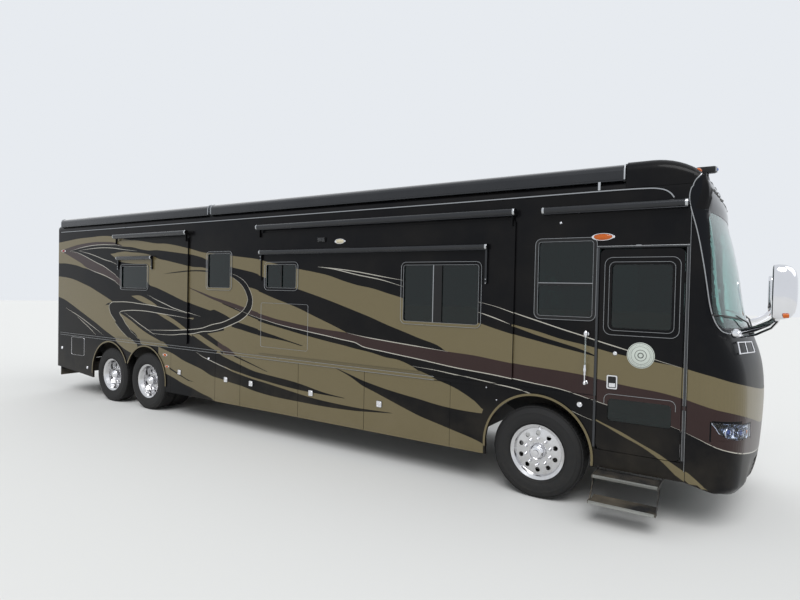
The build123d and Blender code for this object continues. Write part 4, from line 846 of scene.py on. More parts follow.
bands = [                     # colour, then the edges of each band
    ("tan", [[(-11.35, 2.95), (-11.0, 3.04), (-10.6, 3.12), (-10.25, 3.15), (-10, 3.17), (-9.75, 3.19),
              (-9.25, 3.205), (-8.8, 3.216), (-8.4, 3.19), (-8.2, 3.15)],
             [(-8.2, 2.32), (-8.5, 2.38), (-9.4, 2.58), (-9.5, 2.59), (-9.75, 2.64), (-10, 2.67),
              (-10.25, 2.69), (-10.6, 2.7), (-11.0, 2.79), (-11.35, 2.95)]]),
    ("tan", [[(-8.7, 3.21), (-8.4, 3.18), (-8, 3.12), (-7.5, 3.08), (-7, 3.02), (-6.75, 3.01),
              (-6.5, 2.98), (-6.25, 2.94), (-6, 2.89), (-5.75, 2.84), (-5.25, 2.8), (-5, 2.77),
              (-4.75, 2.745), (-4.5, 2.72), (-4.35, 2.695), (-3.6, 2.565), (-3.25, 2.513), (-3, 2.468),
              (-2.75, 2.4), (-2.5, 2.342), (-2.25, 2.303), (-2, 2.242), (-1.75, 2.184), (-1.3, 2.07),
              (-0.72, 1.93), (-0.5, 1.87), (-0.25, 1.81), (0, 1.76), (0.25, 1.71), (0.62, 1.64),
              (1.0, 1.55), (1.48, 1.45)],
             [(1.48, 1.25), (1, 1.32), (0.5, 1.4), (0, 1.45), (-0.5, 1.49), (-1.06, 1.53), (-1.25, 1.624),
              (-1.5, 1.69), (-1.75, 1.763), (-2, 1.834), (-2.25, 1.915), (-2.5, 1.987), (-2.75, 2.058),
              (-3, 2.126), (-3.25, 2.19), (-3.6, 2.275), (-4.35, 2.455), (-4.5, 2.5), (-4.75, 2.545),
              (-5, 2.585), (-5.66, 2.72), (-5.75, 2.75), (-6, 2.8), (-6.25, 2.83), (-6.5, 2.855),
              (-6.75, 2.88), (-7, 2.9), (-7.25, 2.9), (-7.5, 2.93), (-7.75, 2.97), (-8.1, 3.0),
              (-8.4, 3.08), (-8.7, 3.09)]]),
    ("tan", [[(-0.3, 1.93), (0, 1.865), (0.25, 1.8), (0.5, 1.755), (0.62, 1.73), (0.75, 1.7),
              (0.9, 1.675), (1.05, 1.655), (1.2, 1.632), (1.4, 1.607), (1.48, 1.59)],
             [(1.48, 1.4), (0.9, 1.5), (0.62, 1.65), (0.45, 1.71), (0.25, 1.76), (0, 1.82), (-0.3, 1.91)]]),
    ("tan", [[(-8.53, 2.86), (-8.25, 2.88), (-8, 2.895), (-7.75, 2.875), (-7.5, 2.86), (-7.25, 2.83),
              (-7.05, 2.78), (-6.9, 2.74), (-6.75, 2.72), (-6.5, 2.68), (-6.25, 2.64), (-6, 2.6),
              (-5.75, 2.59), (-5.66, 2.575), (-5.1, 2.5), (-4.95, 2.45), (-4.75, 2.35), (-4.62, 2.2),
              (-4.57, 2.08)],
             [(-4.57, 2.08), (-4.6, 1.96), (-4.7, 1.87), (-4.9, 1.78), (-5.1, 1.74)],
             [(-5.1, 1.77), (-5.25, 1.8), (-5.5, 1.87), (-5.75, 1.92), (-6, 1.97), (-6.25, 2.03),
              (-6.5, 2.1), (-6.75, 2.17), (-7, 2.235), (-7.2, 2.28), (-7.28, 2.36)],
             [(-7.28, 2.66), (-7.6, 2.66), (-8.1, 2.7), (-8.25, 2.735), (-8.4, 2.8), (-8.53, 2.86)]]),
    ("tan", [[(-4.72, 2.33), (-4.7, 2.3), (-4.5, 2.255), (-4.35, 2.21), (-4, 2.11), (-3.8, 2.06),
              (-3.5, 1.975), (-3.25, 1.89), (-3, 1.81), (-2.75, 1.725), (-2.6, 1.67)],
             [(-2.6, 1.66), (-3, 1.68), (-3.5, 1.72), (-4, 1.78), (-4.5, 1.87), (-4.9, 1.95)],
             [(-4.9, 1.95), (-4.8, 2.1), (-4.72, 2.33)]]),
    ("tan", [[(-5.2, 2.0), (-5, 1.94)] + low_sweep + [(-0.635, 0.92), (-0.65, 0.875)],
             [(-0.6, 0.6), (-0.5, 0.4)],
             [(-5.4, 0.4), (-5.5, 0.44), (-5.75, 0.49), (-6, 0.55), (-6.25, 0.6), (-6.5, 0.67),
              (-6.8, 0.74), (-6.95, 0.8)],
             [(-6.95, 1.185), (-6.6, 1.188), (-5.2, 1.19)],
             [(-5.2, 1.9), (-5.2, 2.0)]]),
    ("tan", [[(-11.5, 2.24), (-11.0, 2.38), (-10.6, 2.415), (-10.25, 2.4), (-10, 2.375), (-9.75, 2.33),
              (-9.5, 2.27), (-9.25, 2.21), (-9, 2.13), (-8.75, 2.05), (-8.5, 1.965), (-8.42, 1.93),
              (-8.2, 1.9)],
             [(-8.2, 1.5), (-8.1, 1.41), (-7.95, 1.33), (-7.8, 1.26), (-7.62, 1.185), (-7.6, 1.02),
              (-7.75, 1.0), (-8, 1.05), (-8.2, 1.13), (-8.3, 1.18)],
             [(-8.3, 1.235), (-8.35, 1.25), (-8.5, 1.3), (-8.75, 1.39), (-9, 1.49), (-9.25, 1.58),
              (-9.5, 1.67), (-9.75, 1.76), (-10, 1.85), (-10.25, 1.93), (-10.6, 2.0), (-11.0, 2.08),
              (-11.5, 2.24)]]),
    ("tan", [[(-8.2, 1.75), (-8, 1.69), (-7.75, 1.6), (-7.5, 1.49), (-7.25, 1.4), (-7, 1.33),
              (-6.8, 1.27), (-6.6, 1.18)],
             [(-7.45, 1.18), (-7.5, 1.24), (-7.6, 1.36), (-7.75, 1.43), (-8, 1.52), (-8.2, 1.65)]]),
    ("tan", [[(-7.75, 2.07), (-7.5, 2.08), (-7.25, 2.02), (-7, 1.93), (-6.95, 1.9)],
             [(-7.0, 1.9), (-7.25, 1.93), (-7.5, 1.985), (-7.75, 2.06)]]),
    ("tan", [[(-6.98, 1.78), (-6.9, 1.79), (-6.75, 1.77), (-6.5, 1.7), (-6.25, 1.6), (-6.12, 1.54)],
             [(-6.25, 1.52), (-6.5, 1.62), (-6.75, 1.7), (-6.98, 1.78)]]),
    ("tan", [[(-6.15, 1.735), (-5.8, 1.74), (-5.45, 1.7)],
             [(-5.5, 1.685), (-5.8, 1.69), (-6.15, 1.73)]]),
    ("tan", [[(-6.15, 1.47), (-5.95, 1.475), (-5.75, 1.43), (-5.5, 1.33), (-5.35, 1.26), (-5.2, 1.18)],
             [(-5.4, 1.18), (-5.5, 1.25), (-5.75, 1.34), (-6, 1.42), (-6.15, 1.465)]]),
    ("maroon", [[(-10.45, 2.955), (-10.25, 2.99), (-10, 3.03), (-9.75, 3.065), (-9.5, 3.085),
                 (-9.25, 3.1), (-9, 3.105), (-8.75, 3.1), (-8.42, 3.08), (-8.1, 3.02)],
                [(-8.05, 2.22), (-8.25, 2.3), (-8.5, 2.38), (-8.75, 2.45), (-9, 2.5), (-9.25, 2.555),
                 (-9.35, 2.585), (-9.45, 2.62), (-9.6, 2.69), (-9.75, 2.74), (-10, 2.82), (-10.25, 2.9),
                 (-10.45, 2.955)]]),
    ("maroon", [[(-6.1, 2.25), (-5.75, 2.17), (-5.5, 2.11), (-5.25, 2.065), (-5, 2.02), (-4.75, 1.965),
                 (-4.5, 1.91), (-4.25, 1.86), (-4, 1.815), (-3.75, 1.785), (-3.5, 1.755), (-3.25, 1.73),
                 (-3, 1.712), (-2.65, 1.69), (-2.4, 1.658), (-2, 1.624), (-1.5, 1.587), (-1.1, 1.558),
                 (-0.75, 1.54), (-0.5, 1.513), (-0.25, 1.487), (0, 1.47), (0.25, 1.455), (0.5, 1.435),
                 (0.75, 1.393), (1, 1.362), (1.25, 1.338), (1.48, 1.295)],
                long_sweep[::-1] + [(-5.25, 2.01), (-5.5, 2.07), (-5.75, 2.14), (-6.1, 2.24)]]),
    ("maroon", [[(-5.85, 1.49), (-5.7, 1.49), (-5.5, 1.43), (-5.25, 1.35), (-5.05, 1.28), (-4.9, 1.2)],
                [(-5.15, 1.2), (-5.3, 1.27), (-5.5, 1.35), (-5.85, 1.48)]]),
    ("black", [leaf_top,
               leaf_low[::-1]]),
    ("tan", [[(-8.53, 2.86), (-8.25, 2.88), (-8, 2.895), (-7.75, 2.875)],
             [(-7.75, 2.68), (-8.1, 2.7), (-8.25, 2.735), (-8.4, 2.8), (-8.53, 2.86)]]),
    ("black", [[(-8.7, 1.86), (-8.62, 1.9), (-8.45, 1.93), (-8.25, 1.935), (-8, 1.95), (-7.75, 1.945),
                (-7.5, 1.93), (-7.25, 1.92), (-7, 1.9), (-6.75, 1.875), (-6.5, 1.855), (-6.1, 1.82)],
               [(-6.1, 1.73)] + claw[::-1] + [(-7.45, 1.18)],
               [(-7.62, 1.18), (-7.8, 1.26), (-7.95, 1.33), (-8.1, 1.41), (-8.25, 1.51), (-8.4, 1.62),
                (-8.5, 1.7), (-8.55, 1.8), (-8.57, 1.84), (-8.55, 1.88)]]),
    ("black", [[(-6.82, 2.475), (-6.5, 2.51), (-6.25, 2.53), (-6, 2.545), (-5.66, 2.54)] + outer_hook
                + [(-7.3, 1.46)],
               inner_hook[::-1] + [(-5.66, 2.515), (-6, 2.525), (-6.25, 2.51), (-6.5, 2.495),
                (-6.82, 2.475)]]),
    ("black", [[(-5.25, 2.01)] + long_sweep[:18],
               [(0.5, 1.0), (-0.6, 0.9)] + low_sweep[::-1] + [(-4.95, 1.92), (-5.25, 2.0)]]),
    ("black", [[(-5.02, 1.68), (-4.9, 1.72), (-4.75, 1.7), (-4.5, 1.655), (-4.25, 1.605), (-4, 1.56),
                (-3.75, 1.51), (-3.45, 1.455)],
               [(-3.5, 1.45), (-3.75, 1.49), (-4, 1.515), (-4.25, 1.535), (-4.5, 1.56), (-4.75, 1.6),
                (-5.02, 1.64)]]),
    ("black", [[(-5.45, 1.9), (-5.2, 1.83), (-4.98, 1.75)],
               [(-4.98, 1.7), (-5.25, 1.62), (-5.35, 1.4), (-5.35, 1.21), (-5.75, 1.21), (-6, 1.4),
                (-6.0, 1.7), (-5.7, 1.85)]]),
    ("black", [[(-7.0, 1.2), (-5.35, 1.19), (-5.2, 1.15), (-5, 1.1), (-4.75, 1.04), (-4.5, 0.985),
                (-4.25, 0.96), (-4, 0.94), (-3.75, 0.92), (-3.5, 0.89), (-3.1, 0.825), (-2.7, 0.79)],
               [(-2.7, 0.783), (-3.5, 0.8), (-3.75, 0.815), (-4, 0.835), (-4.25, 0.86), (-4.5, 0.885),
                (-4.75, 0.92), (-5, 0.955), (-5.2, 1.0)],
               [(-5.15, 0.97), (-5, 0.93), (-4.75, 0.89), (-4.5, 0.855), (-4.25, 0.83), (-4, 0.8),
                (-3.75, 0.77), (-3.5, 0.74), (-3.25, 0.715), (-3, 0.7), (-2.5, 0.685), (-1.95, 0.695)],
               [(-1.9, 0.69), (-2.25, 0.66), (-2.5, 0.64), (-3, 0.625), (-3.5, 0.63), (-4, 0.64),
                (-4.25, 0.655), (-4.5, 0.68), (-4.75, 0.72), (-5, 0.745), (-5.25, 0.78), (-5.5, 0.81),
                (-5.75, 0.89), (-6, 0.945), (-6.25, 1.0), (-6.5, 1.08), (-6.9, 1.17)]]),
    ("black", [[(-2.87, 1.19), (-2.6, 1.12), (-2.4, 1.065), (-2.25, 1.035), (-2, 0.99), (-1.75, 0.955),
                (-1.5, 0.925), (-1.25, 0.89), (-1, 0.87), (-0.75, 0.865), (-0.62, 0.87), (-0.4, 0.9)],
               [(-0.4, 0.45), (-0.51, 0.45), (-0.6, 0.5), (-0.75, 0.55), (-1, 0.605), (-1.25, 0.66),
                (-1.5, 0.715), (-1.75, 0.79), (-2, 0.87), (-2.25, 0.95), (-2.4, 0.995), (-2.6, 1.09),
                (-2.87, 1.185)]]),
    ("black", [[(-4.95, 1.195), (-4.6, 1.11), (-4.2, 1.005)],
               [(-4.2, 0.998), (-4.6, 1.09), (-4.95, 1.17)]]),
    ("black", [[(-6.62, 0.84), (-6.4, 0.77), (-6.1, 0.68), (-5.92, 0.655)],
               [(-6.1, 0.66), (-6.4, 0.745), (-6.62, 0.81)]]),
    ("tan", [[(0.63, 0.99), (0.75, 0.945), (0.9, 0.89), (1.05, 0.82), (1.25, 0.73), (1.35, 0.67),
              (1.48, 0.597), (1.6, 0.52)],
             [(1.6, 0.42), (1.48, 0.502), (1.4, 0.55), (1.29, 0.65), (1.1, 0.77), (0.9, 0.855),
              (0.75, 0.925), (0.63, 0.975)]]),
    ("tan", [[(-5.618, 1.494), (-5.4, 1.532), (-5.19, 1.574)],
             [(-5.19, 1.325), (-5.4, 1.407), (-5.618, 1.494)]]),
    ("tan", [[(-6.02, 1.453), (-5.832, 1.476)],
             [(-5.203, 1.24), (-5.412, 1.24), (-6.02, 1.453)]]),
]
silver_lines = [
    [(-9.4, 2.6), (-9.25, 2.555), (-9, 2.5), (-8.75, 2.45), (-8.5, 2.38), (-8.25, 2.3), (-8.05, 2.22)],
    leaf_top,
    leaf_low,
    [(-9.7, 2.94), (-9.5, 2.96), (-9.25, 2.975), (-9, 2.985), (-8.75, 2.985), (-8.5, 2.975),
     (-8.25, 2.955), (-8, 2.93), (-7.6, 2.9)],
    [(-9.7, 2.94), (-9.5, 2.91), (-9.25, 2.87), (-9, 2.815), (-8.75, 2.755), (-8.5, 2.71), (-8.2, 2.63)],
    [(-7.62, 1.19), (-7.8, 1.26), (-7.95, 1.33), (-8.1, 1.41), (-8.25, 1.51), (-8.4, 1.62), (-8.5, 1.7),
     (-8.55, 1.8), (-8.56, 1.85), (-8.52, 1.9), (-8.45, 1.93), (-8.25, 1.94), (-8, 1.95), (-7.75, 1.945),
     (-7.5, 1.93), (-7.25, 1.92), (-7, 1.9), (-6.75, 1.875), (-6.5, 1.855), (-6.1, 1.81)],
    [(-7.45, 1.19)] + claw + [(-6.0, 1.72)],
    outer_hook,
    inner_hook,
    [(-10.2, 1.755), (-10, 1.7), (-9.75, 1.63), (-9.5, 1.55), (-9.25, 1.46), (-9, 1.37), (-8.75, 1.27)],
    [(-9.75, 1.6), (-9.5, 1.49), (-9.25, 1.38), (-9.02, 1.26)],
    [(-7.25, 2.1), (-7, 2.02), (-6.75, 1.955), (-6.5, 1.89), (-6.25, 1.845), (-5.8, 1.77)],
    [(-7.98, 1.74), (-7.75, 1.66), (-7.5, 1.56), (-7.25, 1.47), (-7.0, 1.38)],
    [(-2.65, 1.69), (-2.4, 1.658), (-2, 1.624), (-1.5, 1.587), (-1.1, 1.558)],
    long_sweep,
    [(-1.6, 1.335), (-1.25, 1.315), (-1, 1.29), (-0.75, 1.262), (-0.5, 1.235), (-0.2, 1.2), (0, 1.15),
     (0.1, 1.135), (0.25, 1.09), (0.5, 1.0), (0.63, 0.965)],
    [(-0.74, 2.175), (-0.5, 2.125), (-0.25, 2.05), (0, 1.98), (0.25, 1.91), (0.5, 1.845), (0.62, 1.81),
     (0.93, 1.73), (1.2, 1.655), (1.42, 1.6)],
    [(-0.74, 2.06), (-0.5, 1.99), (-0.32, 1.93)],
    [(-3.2, 2.59), (-2.9, 2.565), (-2.5, 2.52), (-2.1, 2.46), (-1.75, 2.41)],
    [(-3.2, 2.59), (-2.9, 2.555), (-2.5, 2.48), (-2.1, 2.415), (-1.75, 2.33)],
    [(-5.9, 1.17), (-5.75, 1.11), (-5.5, 1.05), (-5.25, 0.995), (-5, 0.945)],
]
line_wide = 0.011


def flowing(points, step=0.05):
    """Points along a smooth curve through the given ones (centripetal, so it doesn't overshoot)."""
    if len(points) < 3:
        return [Vector(point) for point in points]
    run = [Vector(point) for point in points]
    run = [2 * run[0] - run[1]] + run + [2 * run[-1] - run[-2]]
    result = []
    for a, b, c, d in zip(run, run[1:], run[2:], run[3:]):
        t1 = max((b - a).length, 1e-6) ** 0.5
        t2 = t1 + max((c - b).length, 1e-6) ** 0.5
        t3 = t2 + max((d - c).length, 1e-6) ** 0.5
        parts = max(1, int((c - b).length / step))
        for index in range(parts):
            t = t1 + (t2 - t1) * index / parts
            ab = a * ((t1 - t) / t1) + b * (t / t1)
            bc = b * ((t2 - t) / (t2 - t1)) + c * ((t - t1) / (t2 - t1))
            cd = c * ((t3 - t) / (t3 - t2)) + d * ((t - t2) / (t3 - t2))
            abc = ab * ((t2 - t) / t2) + bc * (t / t2)
            bcd = bc * ((t3 - t) / (t3 - t1)) + cd * ((t - t1) / (t3 - t1))
            result.append(abc * ((t2 - t) / (t2 - t1)) + bcd * ((t - t1) / (t2 - t1)))
    return result + [run[-2]]


def line_shape(points, wide):
    """A fine line as a closed shape that thins to nothing at its ends."""
    run = flowing(points)
    above_side, below_side = [], []
    for index, point in enumerate(run):
        before, after = run[max(index - 1, 0)], run[min(index + 1, len(run) - 1)]
        along = (after - before).normalized()
        to_end = len(run) - 1 - index
        half = wide / 2 * min(1.0, 0.15 + 3 * index / len(run), 0.15 + 3 * to_end / len(run))
        above_side.append(point + half * Vector((-along.y, along.x)))
        below_side.append(point - half * Vector((-along.y, along.x)))
    return above_side + below_side[::-1]


def closed_shape(edges):
    return [point for edge in edges for point in flowing(edge)]


stripe_shapes = [(colour, closed_shape(edges)) for colour, edges in bands]
stripe_shapes += [("silver", line_shape(line, line_wide)) for line in silver_lines]


def inside(points, loop):
    """Which of the points lie inside a closed loop."""
    xs, zs = points[:, 0], points[:, 1]
    result = np.zeros(len(points), bool)
    corners = np.array([tuple(corner) for corner in loop])
    for (x0, z0), (x1, z1) in zip(corners, np.roll(corners, -1, axis=0)):
        if z0 == z1:
            continue
        crosses = ((z0 > zs) != (z1 > zs)) & (xs < (x1 - x0) * (zs - z0) / (z1 - z0) + x0)
        result ^= crosses
    return result


def rounded_loop(x0, x1, z0, z1, radius, parts=5):
    loop = []
    for x, z, start in ((x1, z1, 0), (x0, z1, 90), (x0, z0, 180), (x1, z0, 270)):
        cx = x - radius if x == x1 else x + radius
        cz = z - radius if z == z1 else z + radius
        for index in range(parts + 1):
            angle = radians(start + 90 * index / parts)
            loop.append((cx + radius * cos(angle), cz + radius * sin(angle)))
    return loop


def grown(pane, by, radius):
    """A pane's outline moved out by a distance, with rounded corners."""
    x0, x1, z0, z1 = pane
    return rounded_loop(x0 - by, x1 + by, z0 - by, z1 + by, radius)


paints = {"tan": tan_paint, "maroon": maroon_paint, "silver": silver_paint}


def paint_panel(name, body, panel, holes, place, outward, shapes=None, grid=None):
    """Cuts the stripes to one panel's outline and lays them on it as a film of paint."""
    shapes = stripe_shapes if shapes is None else shapes
    low = [min(point[k] for point in panel) for k in (0, 1)]
    high = [max(point[k] for point in panel) for k in (0, 1)]
    near = [(colour, loop) for colour, loop in shapes
            if all(min(p[k] for p in loop) < high[k] and max(p[k] for p in loop) > low[k] for k in (0, 1))]
    points, edges = [], []
    for loop in [panel] + holes + [loop for _, loop in near]:
        start, count = len(points), len(loop)
        points += [Vector((point[0], point[1])) for point in loop]
        edges += [(start + k, start + (k + 1) % count) for k in range(count)]
    if grid:
        for x in [low[0], *np.arange(low[0] + grid, high[0], grid), high[0]]:
            for z in np.arange(low[1], high[1], grid):
                points.append(Vector((x, z)))
    flat, _, triangles, _, _, _ = delaunay_2d_cdt(points, edges, [], 0, 1e-6, False)
    middles = np.array([tuple(sum((flat[v] for v in t), Vector((0, 0))) / 3) for t in triangles])
    kept = inside(middles, panel)
    for hole in holes:
        kept &= ~inside(middles, hole)
    colours = np.array(["black"] * len(triangles), dtype=object)
    for colour, loop in near:
        colours[inside(middles, loop)] = colour
    chosen = [k for k in range(len(triangles)) if kept[k] and colours[k] != "black"]
    if not chosen:
        return None
    used = sorted({v for k in chosen for v in triangles[k]})
    number = {v: index for index, v in enumerate(used)}
    mesh = bpy.data.meshes.new(name)
    faces = []
    for k in chosen:
        a, b, c = triangles[k]
        p, q, r = flat[a], flat[b], flat[c]
        turn_left = (q - p).cross(r - p) > 0
        faces.append([number[v] for v in ((a, b, c) if turn_left == outward else (a, c, b))])
    mesh.from_pydata([place(flat[v].x, flat[v].y) for v in used], [], faces)
    order = [colour for colour in paints if colour in {colours[k] for k in chosen}]
    mesh.polygons.foreach_set("material_index", [order.index(colours[k]) for k in chosen])
    return new_piece(name, mesh, body, [paints[colour] for colour in order])


film = 0.0012                 # how far the paint stands over its panel
shut = 0.003                  # half the gap between a door and its neighbour
side_y, arch_z, arch_radius = 1.275, 0.55, 0.6265
circle_of = lambda x, z, radius: [(x + radius * cos(k * pi / 32), z + radius * sin(k * pi / 32))
                                  for k in range(64)]
box_of = lambda x0, x1, z0, z1: [(x0, z0), (x1, z0), (x1, z1), (x0, z1)]
slide_holes = {"bedroom": (-8.24, -6.16, 1.33, 3.05), "living": (-4.345, -0.33, 1.33, 3.06)}
slide_panes = {"bedroom": [(-8.11, -7.245, 2.19, 2.64)],
               "living": [(-4.245, -3.585, 2.255, 2.65), (-1.78, -0.692, 1.876, 2.63)]}
wall_panes = [(-5.64, -5.04, 2.235, 2.835), (-0.04, 0.596, 2.022, 2.872)]
bays = {"right": {"a": (-6.585, -5.405), "b": (-5.405, -4.803), "c": (-4.803, -3.566),
                  "d": (-3.566, -2.369), "e": (-2.369, -1.072)}}
bays["left"] = {"a": bays["right"]["a"], "c": (-5.405, -3.566), "d": bays["right"]["d"],
                "e": bays["right"]["e"]}


def latch_at(x0, x1):
    """Where a bay door's latch sits: near its free edge, or at the middle of a narrow door."""
    return x0 + 0.253 if x1 - x0 > 0.7 else x0 + shut + 0.45 * (x1 - x0 - 2 * shut)


for side, sign in SIDES:
    on_side = lambda y: (lambda x, z: (x + FRONT, sign * y, z))
    outward = sign < 0
    flat_wall = on_side(side_y + film)
    holes = [rounded_loop(*pane, 0.055) for pane in wall_panes] + [box_of(*slide_holes["living"])]
    if side == "right":
        holes += [box_of(*slide_holes["bedroom"]), box_of(0.636, 1.436, 1.0, 2.762)]
    else:
        holes += [rounded_loop(*slide_panes["bedroom"][0], 0.055)]
    paint_panel(f"stripes_wall_{side}", "coach", box_of(-10.42, 1.478, 1.236, 3.338), holes, flat_wall,
                outward)
    arch = lambda x: circle_of(x, arch_z, arch_radius)
    rear_panel = [(-10.42, 0.51), (-9.051, 0.4), (-6.586, 0.4), (-6.586, 1.189), (-10.42, 1.189)]
    under = lambda x: box_of(x - arch_radius, x + arch_radius, 0.3, arch_z)
    paint_panel(f"stripes_rear_quarter_{side}", "coach", rear_panel,
                [arch(AXLES["drive"]), arch(AXLES["tag"]), under(AXLES["drive"]), under(AXLES["tag"]),
                 box_of(-8.32, -7.52, 0.3, 0.79)],
                flat_wall, outward)
    front_panel = [(-1.071, 0.4), (0.3, 0.4), (0.626, 0.495), (1.477, 0.495), (1.477, 1.189),
                   (-1.071, 1.189)]
    notch = [box_of(0.636, 1.436, 0.676, 1.3)] if side == "right" else []
    paint_panel(f"stripes_front_quarter_{side}", "coach", front_panel, [arch(0), under(0)] + notch,
                flat_wall, outward)
    for name, (x0, x1) in bays[side].items():
        latch_x = latch_at(x0, x1)
        latch = rounded_loop(latch_x - 0.042, latch_x + 0.042, 0.743, 0.827, 0.014)
        paint_panel(f"stripes_bay_{side}_{name}", f"bay_door_{side}_{name}",
                    box_of(x0 + shut, x1 - shut, 0.4, 1.184), [latch], flat_wall, outward)
    for name, (x0, x1, z0, z1) in slide_holes.items():
        if side == "left" and name == "bedroom":
            continue
        body = f"{name}_slide" if name == "bedroom" else f"{name}_slide_{side}"
        paint_panel(f"stripes_{body}", body, grown((x0, x1, z0, z1), 0.045, 0.03),
                    [rounded_loop(*pane, 0.055) for pane in slide_panes[name]],
                    on_side(side_y + 0.028 + film), outward)
paint_panel("stripes_entry_door", "entry_door", rounded_loop(0.642, 1.430, 0.682, 2.756, 0.06),
            [rounded_loop(0.737, 1.35, 1.925, 2.625, 0.055), rounded_loop(0.752, 1.347, 0.99, 1.222, 0.04),
             rounded_loop(0.742, 0.842, 1.325, 1.462, 0.012), circle_of(0.812, 1.69, 0.022)],
            lambda x, z: (x + FRONT, -side_y - film, z), True)

# Rear cap: the bands run round the corner and out on the tail
corner_x, corner_radius = -10.49, 0.11


def on_rear(sign):
    def place(x, z):
        past = corner_x - x
        turn_length = corner_radius * pi / 2
        if past <= 0:
            return (x + FRONT, sign * (side_y + film), z)
        if past < turn_length:
            angle = past / corner_radius
            reach = corner_radius + film
            y = side_y - corner_radius + reach * cos(angle)
            return (corner_x + FRONT - reach * sin(angle), sign * y, z)
        y = side_y - corner_radius - past + turn_length
        return (corner_x - corner_radius - film + FRONT, sign * y, z)
    return place


for side, sign in SIDES:
    rear_strip = box_of(-11.6, -10.4201, 1.24, 3.33)
    paint_panel(f"stripes_rear_{side}", "coach", rear_strip, [], on_rear(sign), sign < 0, grid=0.03)

# Front cap: the bands run round the nose and meet in its middle. Places are given by the angle at which
# they are seen from a line up the cab's middle, in degrees off straight ahead, and the height.
nose_split = [(-65.6, 1.295), (-61.5, 1.263), (-56.5, 1.226), (-51.5, 1.20), (-46.9, 1.172),
              (-38.6, 1.117), (-22.3, 1.022), (-10, 0.99), (0, 0.985)]
nose_line = [(-65.6, 0.978), (-61.1, 0.928), (-55.9, 0.866), (-50.6, 0.828), (-42.3, 0.787), (-29.8, 0.74),
             (-15, 0.71), (0, 0.70)]
nose_bands = [
    ("tan", [[(-65.6, 1.590), (-61.7, 1.563), (-57, 1.532), (-51.7, 1.493), (-44, 1.45), (-31.7, 1.395),
              (-15.5, 1.345), (0, 1.33)], nose_split[::-1]]),
    ("maroon", [nose_split, nose_line[::-1]]),
    ("tan", [[(-68, 0.66), (-65.4, 0.603), (-64.5, 0.595), (-60.6, 0.508), (-58, 0.45), (-55, 0.37)],
             [(-61, 0.37), (-65.6, 0.495), (-68, 0.54)]]),
]
degree = radians(1) * 1.3     # a degree as a length on the nose, for even triangles
as_length = lambda points: [(angle * degree, z) for angle, z in points]
seen_at = lambda spot: atan2(spot.y, spot.x - FRONT - CAB) / radians(1) * degree


def from_ahead(tree, y, z):
    """Where a ray from ahead of the coach meets a surface, and how the surface faces there."""
    return tree.ray_cast(Vector((3.2 + FRONT, y, z)), Vector((-1, 0, 0)))[:2]


nose_shapes = [(colour, closed_shape([as_length(edge) for edge in edges])) for colour, edges in nose_bands]
nose_shapes.append(("silver", line_shape(as_length(nose_line), line_wide)))
cap_tree = skin_of(cap_mesh)
lamp_tree = skin_of(nodes["headlamps"].data)


def on_nose(sign, lift=0.0016):
    def place(length, z):
        angle = radians(min(length / degree, -0.02))     # beside the middle, where a cast can slip through
        way = Vector((cos(angle), -sign * sin(angle), 0))
        centre = Vector((CAB + FRONT, 0, z))
        start = centre + 3 * way
        hit, normal, _, _ = cap_tree.ray_cast(start, -way)
        if hit is None or (hit - centre).length < 0.55:
            hit, normal, _, _ = lamp_tree.ray_cast(start, -way)
        if hit is None:
            return tuple(centre + way)
        spot = hit + lift * normal
        return (spot.x, 0.0 if length > -1e-5 else spot.y, spot.z)
    return place


lamp_edges = {"low": [(-0.832, 0.9355), (-1.225, 0.930)], "high": [(-1.225, 1.101), (-0.872, 1.0645)]}
lamp_runs = {}                # the headlamp opening's lower and upper edge as the same angles
for edge, ((y0, z0), (y1, z1)) in lamp_edges.items():
    hits = [from_ahead(lamp_tree, y0 + (y1 - y0) * k / 12, z0 + (z1 - z0) * k / 12)[0] for k in range(13)]
    beside = [lamp_tree.ray_cast(Vector((x + FRONT, -3, z1 if edge == "low" else z0)), Vector((0, 1, 0)))[0]
              for x in (1.735, 1.715, 1.691)]
    hits = hits + beside if edge == "low" else beside[::-1] + hits
    lamp_runs[edge] = [(seen_at(hit), hit.z) for hit in hits
                       if hit is not None and hit.x - FRONT > 1.69]
opening_loop = lamp_runs["low"] + lamp_runs["high"]
wedge_edge = [(-57.4, 1.088), (-54.9, 0.986), (-50.0, 0.941), (-45.0, 0.93)]
wedge_run = [(length, max(z, float(np.interp(length / degree, *zip(*wedge_edge)))))
             for length, z in lamp_runs["low"]]
lamp_loop = wedge_run + lamp_runs["high"]
for side, sign in SIDES:
    paint_panel(f"stripes_nose_{side}", "coach", box_of(-65.45 * degree, 0, 0.43, 1.7), [opening_loop],
                on_nose(sign), sign < 0, shapes=nose_shapes, grid=0.03)

# ---- Glass -------------------------------------------------------------------------------------
# Tempered panes tinted dark, their green cast a painted reflection of grass, set in black anodised frames; the
# windshield is clear laminated glass.


def glass(name, colour, clear, roughness=0.02):
    finish = bpy.data.materials.new(name)
    finish.use_nodes = True
    tree = finish.node_tree
    shader = tree.nodes["Principled BSDF"]
    place = tree.nodes.new("ShaderNodeTexCoord")
    smear = tree.nodes.new("ShaderNodeTexNoise")
    smear.inputs["Scale"].default_value = 2.5
    tree.links.new(place.outputs["Object"], smear.inputs["Vector"])
    film_rough = tree.nodes.new("ShaderNodeMapRange")
    film_rough.inputs["To Min"].default_value = 0.0
    film_rough.inputs["To Max"].default_value = roughness * 2
    tree.links.new(smear.outputs["Fac"], film_rough.inputs["Value"])
    tree.links.new(film_rough.outputs[0], shader.inputs["Roughness"])
    shader.inputs["Base Color"].default_value = (*colour, 1)
    shader.inputs["Transmission Weight"].default_value = clear
    shader.inputs["IOR"].default_value = 1.45
    return finish
